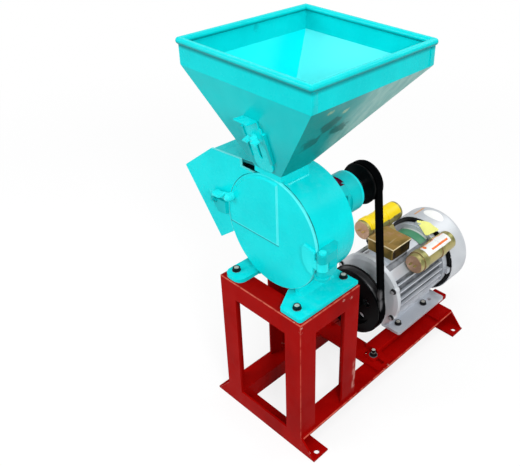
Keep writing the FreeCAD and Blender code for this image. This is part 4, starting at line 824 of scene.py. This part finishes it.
# %% [markdown]
# ## Screws of the motor's front shield
# Four long screws hold the motor together, and their heads sit on the bosses of the front shield.
# A head starts as a six-sided cylinder. Its front is inset and raised to a flat crown, its edges
# are rounded, and a thin washer disc is joined behind it.

# %% Shield screws
washer = start(bpy.ops.mesh.primitive_cylinder_add, vertices=32, radius=0.0068, depth=0.0012,
               location=(0, -0.0007, 0), rotation=(math.pi / 2, 0, 0))
pick(washer, lambda face: abs(face.normal.z) > 0.9)
bpy.ops.mesh.inset(thickness=0.0008)
to_object()
head = start(bpy.ops.mesh.primitive_cylinder_add, vertices=6, radius=0.0056, depth=0.0042,
             location=(0, -0.0034, 0), rotation=(math.pi / 2, 0, 0))
pick(head, lambda face: face.normal.z > 0.9)
bpy.ops.mesh.inset(thickness=0.0010)
bpy.ops.transform.translate(value=(0, -0.0004, 0))
modify(head, "BEVEL", width=0.0004, segments=2, limit_method="ANGLE")
washer.select_set(True)
head.select_set(True)
bpy.ops.object.join()
bpy.ops.object.transform_apply()
SHIELD_FRONT = 0.072
screws = [head] + [copy_of(head) for _ in range(3)]
for number, (screw, place) in enumerate(zip(screws, shield_places), 1):
    screw.location = (place[0], SHIELD_FRONT, place[2])
    settle(screw, "shield_screw_%d" % number, shield_zinc, smooth=30)
print("shield screws:", len(screws))

# %% [markdown]
# ## Labels on round surfaces
# The stickers and plates carry no words, only plain colours and two bars. A sticker follows the
# round surface that it is glued to, so it is spun: one edge of a plane is kept, extruded point by
# point along the sticker's profile, which rises where a clamp band lies below, and turned about the
# axis of can or motor. Its corners are then rounded, and it gets the thickness of foil. Vinyl is
# smooth with a soft gloss, and slightly dirty.

# %% Sticker finishes
LEFT_CAN, RIGHT_CAN = (-0.090, 0.242), (0.066, 0.226)


def vinyl(name, tone, border=None, gloss=0.35):
    f = Finish(name)
    faded = [int(value * 0.92) for value in tone]
    base = f.blend(f.fade(f.noise(16.0, 2.0), 0.35, 0.7) * 0.5, colour(*tone), colour(*faded))
    if border:
        base = f.blend(border(f), base, colour(236, 112, 28))
    spots = f.fade(f.noise(70.0, 5.0, 0.7), 0.58, 0.8)
    base = f.blend(spots * 0.3, base, colour(120, 112, 96))
    f.set(Base_Color=base, Roughness=gloss + spots * 0.2, Specular_IOR_Level=0.3)
    f.bump(f.noise(140.0, 3.0), 0.06, 0.0005)
    return f


white_vinyl = vinyl("white_vinyl", (248, 248, 246))
yellow_vinyl = vinyl("yellow_vinyl", (248, 216, 12))
pale_card = vinyl("pale_yellow_card", (240, 240, 138), gloss=0.5)
orange_vinyl = vinyl("orange_vinyl", (214, 160, 112))
green_plate = vinyl("green_plate", (70, 140, 104), gloss=0.3)
grey_plate = vinyl("grey_plate", (196, 206, 200), gloss=0.3)


def bars(f):
    """A wide bar and a thin border along the right can, and a round spot at the label's front."""
    turned = (f.axis("Z") - RIGHT_CAN[1]).math("ARCTAN2", f.axis("X") - RIGHT_CAN[0])
    wide = f.fade(abs(turned - 1.05), 0.115, 0.095)
    wide = wide * f.fade(abs(f.axis("Y") - 0.220), 0.031, 0.030)
    thin = f.fade(abs(turned - 1.90), 0.050, 0.036)
    spot = f.fade(f.distance([(0.0640, 0.1785, 0.0)], (1, 1, 0)), 0.0052, 0.0045)
    return wide | thin | spot


white_and_orange = vinyl("white_vinyl_with_orange_bars", (244, 244, 242), border=bars)
print("sticker finishes ready")


# %% Stickers spun about their axes
def sticker(name, finish, axis, profile, angles, corner, thick=0.0004):
    """A sheet spun about an axis along Y, from a (radius, y) profile, between two angles."""
    low, high = math.radians(angles[0]), math.radians(angles[1])
    places = [Vector((axis[0] + radius * math.cos(low), y, axis[1] + radius * math.sin(low)))
              for radius, y in profile]
    piece = start(bpy.ops.mesh.primitive_plane_add, size=0.002)
    pick(piece, lambda point: point.co.x > 0, "VERT")
    bpy.ops.mesh.delete(type="VERT")
    to_object()
    for point, place in zip(sorted(piece.data.vertices, key=lambda v: v.co.y), places):
        point.co = place
    pick(piece, lambda point: (point.co - places[1]).length < 1e-6, "VERT")
    for place, before in zip(places[2:], places[1:]):
        step = tuple(place - before)
        bpy.ops.mesh.extrude_vertices_move(TRANSFORM_OT_translate={"value": step})
    bpy.ops.mesh.select_all(action="SELECT")
    bpy.ops.mesh.spin(steps=max(6, round((angles[1] - angles[0]) / 4)), angle=high - low,
                      center=(axis[0], 0, axis[1]), axis=(0, 1, 0))

    def is_corner(point):
        angle = math.atan2(point.co.z - axis[1], point.co.x - axis[0])
        at_end = min(abs(angle - low), abs(angle - high)) < 0.004
        to_side = min(abs(point.co.y - profile[0][1]), abs(point.co.y - profile[-1][1]))
        return at_end and to_side < 1e-5

    found = pick(piece, is_corner, "VERT")
    bpy.ops.mesh.bevel(offset=corner, offset_type="OFFSET", segments=4, affect="VERTICES")
    bpy.ops.mesh.select_all(action="SELECT")
    bpy.ops.mesh.normals_make_consistent(inside=False)
    to_object()
    first = piece.data.polygons[0]
    away = Vector((first.center.x - axis[0], 0, first.center.z - axis[1]))
    if away.dot(first.normal) < 0:
        bpy.ops.object.mode_set(mode="EDIT")
        bpy.ops.mesh.flip_normals()
    modify(piece, "SOLIDIFY", thickness=thick, offset=1.0)
    settle(piece, name, finish)
    print(name, "corners", found, "faces", len(piece.data.polygons))


def over_bands(radius, y_from, y_to, bands):
    """Profile of a label on a can, which rises 2 mm where a clamp band lies under it."""
    on_can, on_band = radius + 0.0001, radius + 0.0022
    profile = [(on_can, y_from)]
    for low, high in bands:
        profile += [(on_can, low - 0.0016), (on_band, low - 0.0002)]
        profile += [(on_band, high + 0.0002), (on_can, high + 0.0016)]
    return profile + [(on_can, y_to)]


left_profile = over_bands(0.024, 0.150, 0.264, [(0.157, 0.171), (0.218, 0.232)])
right_profile = over_bands(0.023, 0.168, 0.258, [(0.220, 0.234)])
sticker("left_can_label", yellow_vinyl, LEFT_CAN, left_profile, (18, 160), corner=0.003)
sticker("right_can_label", white_and_orange, RIGHT_CAN, right_profile, (38, 113), corner=0.002)
sticker("motor_plate_green", green_plate, MOTOR_AXIS, [(0.0768, 0.2225), (0.0768, 0.2480)],
        (62, 118), corner=0.002, thick=0.0010)
sticker("motor_plate_grey", grey_plate, MOTOR_AXIS, [(0.0768, 0.2484), (0.0768, 0.2546)],
        (64, 118), corner=0.001, thick=0.0008)
sticker("cowl_stripe", orange_vinyl, MOTOR_AXIS, [(0.0982, 0.292), (0.0982, 0.331)],
        (108, 111), corner=0.001)

# %% [markdown]
# ## Oval sticker and card tag
# The oval on the cowl starts as a flat disc over the surface. It is inset a few times, so that it
# has rings to bend along, stretched to an oval, and laid onto the cowl by a Shrinkwrap modifier.
# The card tag leans from the barrel onto the front edge of the cowl. Its four corners are listed,
# then it is divided and its middle is pushed out, so that it bends like card.

# %% Oval sticker
OVAL_ANGLE, OVAL_REACH, OVAL_Y = 86, 0.106, 0.315
turn = math.radians(OVAL_ANGLE)
outward = Vector((math.cos(turn), 0, math.sin(turn)))
oval = start(bpy.ops.mesh.primitive_circle_add, vertices=48, radius=0.0185, fill_type="NGON",
             location=(MOTOR_AXIS[0] + OVAL_REACH * outward.x, OVAL_Y,
                       MOTOR_AXIS[1] + OVAL_REACH * outward.z),
             rotation=(0, math.radians(90 - OVAL_ANGLE), 0))
edit_all()
for _ in range(5):
    bpy.ops.mesh.inset(thickness=0.0032)
bpy.ops.mesh.select_all(action="SELECT")
bpy.ops.transform.resize(value=(1.50, 0.88, 1.0))
bpy.ops.mesh.normals_make_consistent(inside=False)
modify(oval, "SHRINKWRAP", target=nodes["fan_cowl"], wrap_method="PROJECT", use_project_z=True,
       use_negative_direction=True, use_positive_direction=False, offset=0.0003)
modify(oval, "SOLIDIFY", thickness=0.0003, offset=1.0)
settle(oval, "cowl_oval_sticker", white_vinyl)
print("oval:", [round(v, 4) for v in oval.dimensions])

# %% Card tag
def round_motor(radius, angle, y):
    """Point at a radius and angle round the motor's axis."""
    turn = math.radians(angle)
    return Vector((MOTOR_AXIS[0] + radius * math.cos(turn), y, MOTOR_AXIS[1] + radius * math.sin(turn)))


tag = start(bpy.ops.mesh.primitive_plane_add, size=0.02)
tag_corners = [(0.1000, 95, 0.2620), (0.0850, 67, 0.2480), (0.1010, 82, 0.2750), (0.1010, 61, 0.2820)]
for point, (radius, angle, y) in zip(tag.data.vertices, tag_corners):
    point.co = round_motor(radius, angle, y)
edit_all()
bpy.ops.mesh.subdivide(number_cuts=3)
to_object()
middle = sum((point.co for point in tag.data.vertices), Vector()) / len(tag.data.vertices)
lift = (middle - Vector((MOTOR_AXIS[0], middle.y, MOTOR_AXIS[1]))).normalized()
for reach, height in ((0.014, 0.0030), (0.008, 0.0022)):
    count = pick(tag, lambda point: (point.co - middle).length < reach, "VERT")
    bpy.ops.transform.translate(value=tuple(lift * height))
    print("tag points pushed out:", count)
modify(tag, "SOLIDIFY", thickness=0.0005, offset=0.0)
modify(tag, "SUBSURF", levels=2, render_levels=2)
settle(tag, "card_tag", pale_card)
print("card tag faces:", len(tag.data.polygons))

# %% [markdown]
# ## Floor, backdrop and world
# The photograph shows the machine on plain white. A large pale floor spreads under it, and both
# floor and world look white to the camera and in reflections, while the floor still takes a soft
# shadow near the machine. Further away it fades to plain white, so that no horizon shows.

# %% Floor and world
floor = start(bpy.ops.mesh.primitive_plane_add, size=1.0, location=(0, 0, -0.0005))
floor.name = "studio_floor"
bpy.ops.transform.resize(value=(9.0, 9.0, 1.0))
bpy.ops.object.transform_apply()
floor_finish = Finish("pale_floor")
f = floor_finish
floor_tone = f.fade(f.noise(1.5, 2.0), 0.3, 0.7)
to_camera = f.node("ShaderNodeLightPath", {}, out="Is Camera Ray")
to_gloss = f.node("ShaderNodeLightPath", {}, out="Is Glossy Ray")
seen_directly = to_camera | to_gloss
floor_white = f.blend(floor_tone, colour(252, 252, 252), colour(250, 250, 251))
f.set(Base_Color=f.blend(seen_directly, colour(170, 170, 170), floor_white), Roughness=0.9)
glow = f.node("ShaderNodeEmission", {}, (1.0, 1.0, 1.0, 1.0), 1.0)
lit = Signal(f, f.shader.outputs[0])
near_to_far = f.fade(f.distance([(0.0, 0.0, 0.0)]), 0.7, 2.2, 0.82, 1.0)
mixed = f.node("ShaderNodeMixShader", {}, seen_directly * near_to_far, lit, glow)
floor_out = next(n for n in f.tree.nodes if n.type == "OUTPUT_MATERIAL")
f.feed(floor_out.inputs["Surface"], mixed)
floor_finish.cover(floor)

WORLD_LIGHT, WORLD_SEEN = 0.48, 1.0
world = bpy.data.worlds.new("studio")
bpy.context.scene.world = world
world.use_nodes = True
world_tree = world.node_tree
backdrop = next(n for n in world_tree.nodes if n.type == "BACKGROUND")
paths = world_tree.nodes.new("ShaderNodeLightPath")
seen = world_tree.nodes.new("ShaderNodeMath")
seen.operation = "MAXIMUM"
world_tree.links.new(paths.outputs["Is Camera Ray"], seen.inputs[0])
world_tree.links.new(paths.outputs["Is Transmission Ray"], seen.inputs[1])
level = world_tree.nodes.new("ShaderNodeMix")
level.data_type = "FLOAT"
level.inputs[2].default_value, level.inputs[3].default_value = WORLD_LIGHT, WORLD_SEEN
world_tree.links.new(seen.outputs[0], level.inputs[0])
world_tree.links.new(level.outputs[0], backdrop.inputs["Strength"])
backdrop.inputs["Color"].default_value = (1.0, 1.0, 1.0, 1.0)
print("floor and world ready")

# %% [markdown]
# ## Lamps
# The main lamp stands high on the right and is fairly small, so that bevels, screws and the hinge
# show clear light and shade. A large weaker one fills from the left, one hangs over the hopper and
# lights its inside, and a long strip behind gives the rims and the motor their bright edges.

# %% Lamps
def soft_lamp(name, place, aim, size, watts):
    data = bpy.data.lights.new(name, "AREA")
    data.shape = "RECTANGLE"
    data.size, data.size_y = size
    data.energy = watts
    lamp = bpy.data.objects.new(name, data)
    bpy.context.scene.collection.objects.link(lamp)
    lamp.location = place
    lamp.rotation_euler = (Vector(aim) - Vector(place)).to_track_quat("-Z", "Y").to_euler()


soft_lamp("key_lamp", (2.1, -1.3, 1.9), (0, -0.1, 0.4), (0.7, 0.7), 42.0)
soft_lamp("fill_lamp", (-1.4, -2.2, 1.5), (0, -0.1, 0.4), (1.4, 1.4), 32.0)
soft_lamp("overhead_lamp", (0.2, -0.3, 2.6), (0, -0.1, 0.5), (1.2, 1.2), 15.0)
soft_lamp("back_strip", (0.8, 2.0, 2.0), (0, 0, 0.45), (2.0, 0.6), 14.0)
print("lamps ready")

# %% [markdown]
# ## Camera
# The camera stands where the photograph was taken from. Its place, direction and lens come from
# lining up sixty points of the stand, hopper, mill and motor. The photograph was cropped from a
# wider picture, so the middle of the lens isn't the middle of the frame, and a small shift says so.

# %% Camera
TURN, PITCH, ROLL = math.radians(41.52), math.radians(31.49), math.radians(1.35)
PLACE = (0.7185, -0.8874, 1.1069)
back = Vector((math.sin(TURN) * math.cos(PITCH), -math.cos(TURN) * math.cos(PITCH), math.sin(PITCH)))
right = Vector((math.cos(TURN), math.sin(TURN), 0))
up = back.cross(right)
tilted_right = right * math.cos(ROLL) + up * math.sin(ROLL)
tilted_up = up * math.cos(ROLL) - right * math.sin(ROLL)
lens = bpy.data.cameras.new("camera")
lens.sensor_width = 36.0
lens.lens = 46.01
lens.shift_x = -0.1336
lens.shift_y = -0.0507
camera = bpy.data.objects.new("camera", lens)
bpy.context.scene.collection.objects.link(camera)
camera.matrix_world = Matrix((
    (tilted_right.x, tilted_up.x, back.x, PLACE[0]),
    (tilted_right.y, tilted_up.y, back.y, PLACE[1]),
    (tilted_right.z, tilted_up.z, back.z, PLACE[2]),
    (0, 0, 0, 1)))
bpy.context.scene.camera = camera
bpy.context.scene.view_settings.view_transform = "Standard"
print("camera ready")
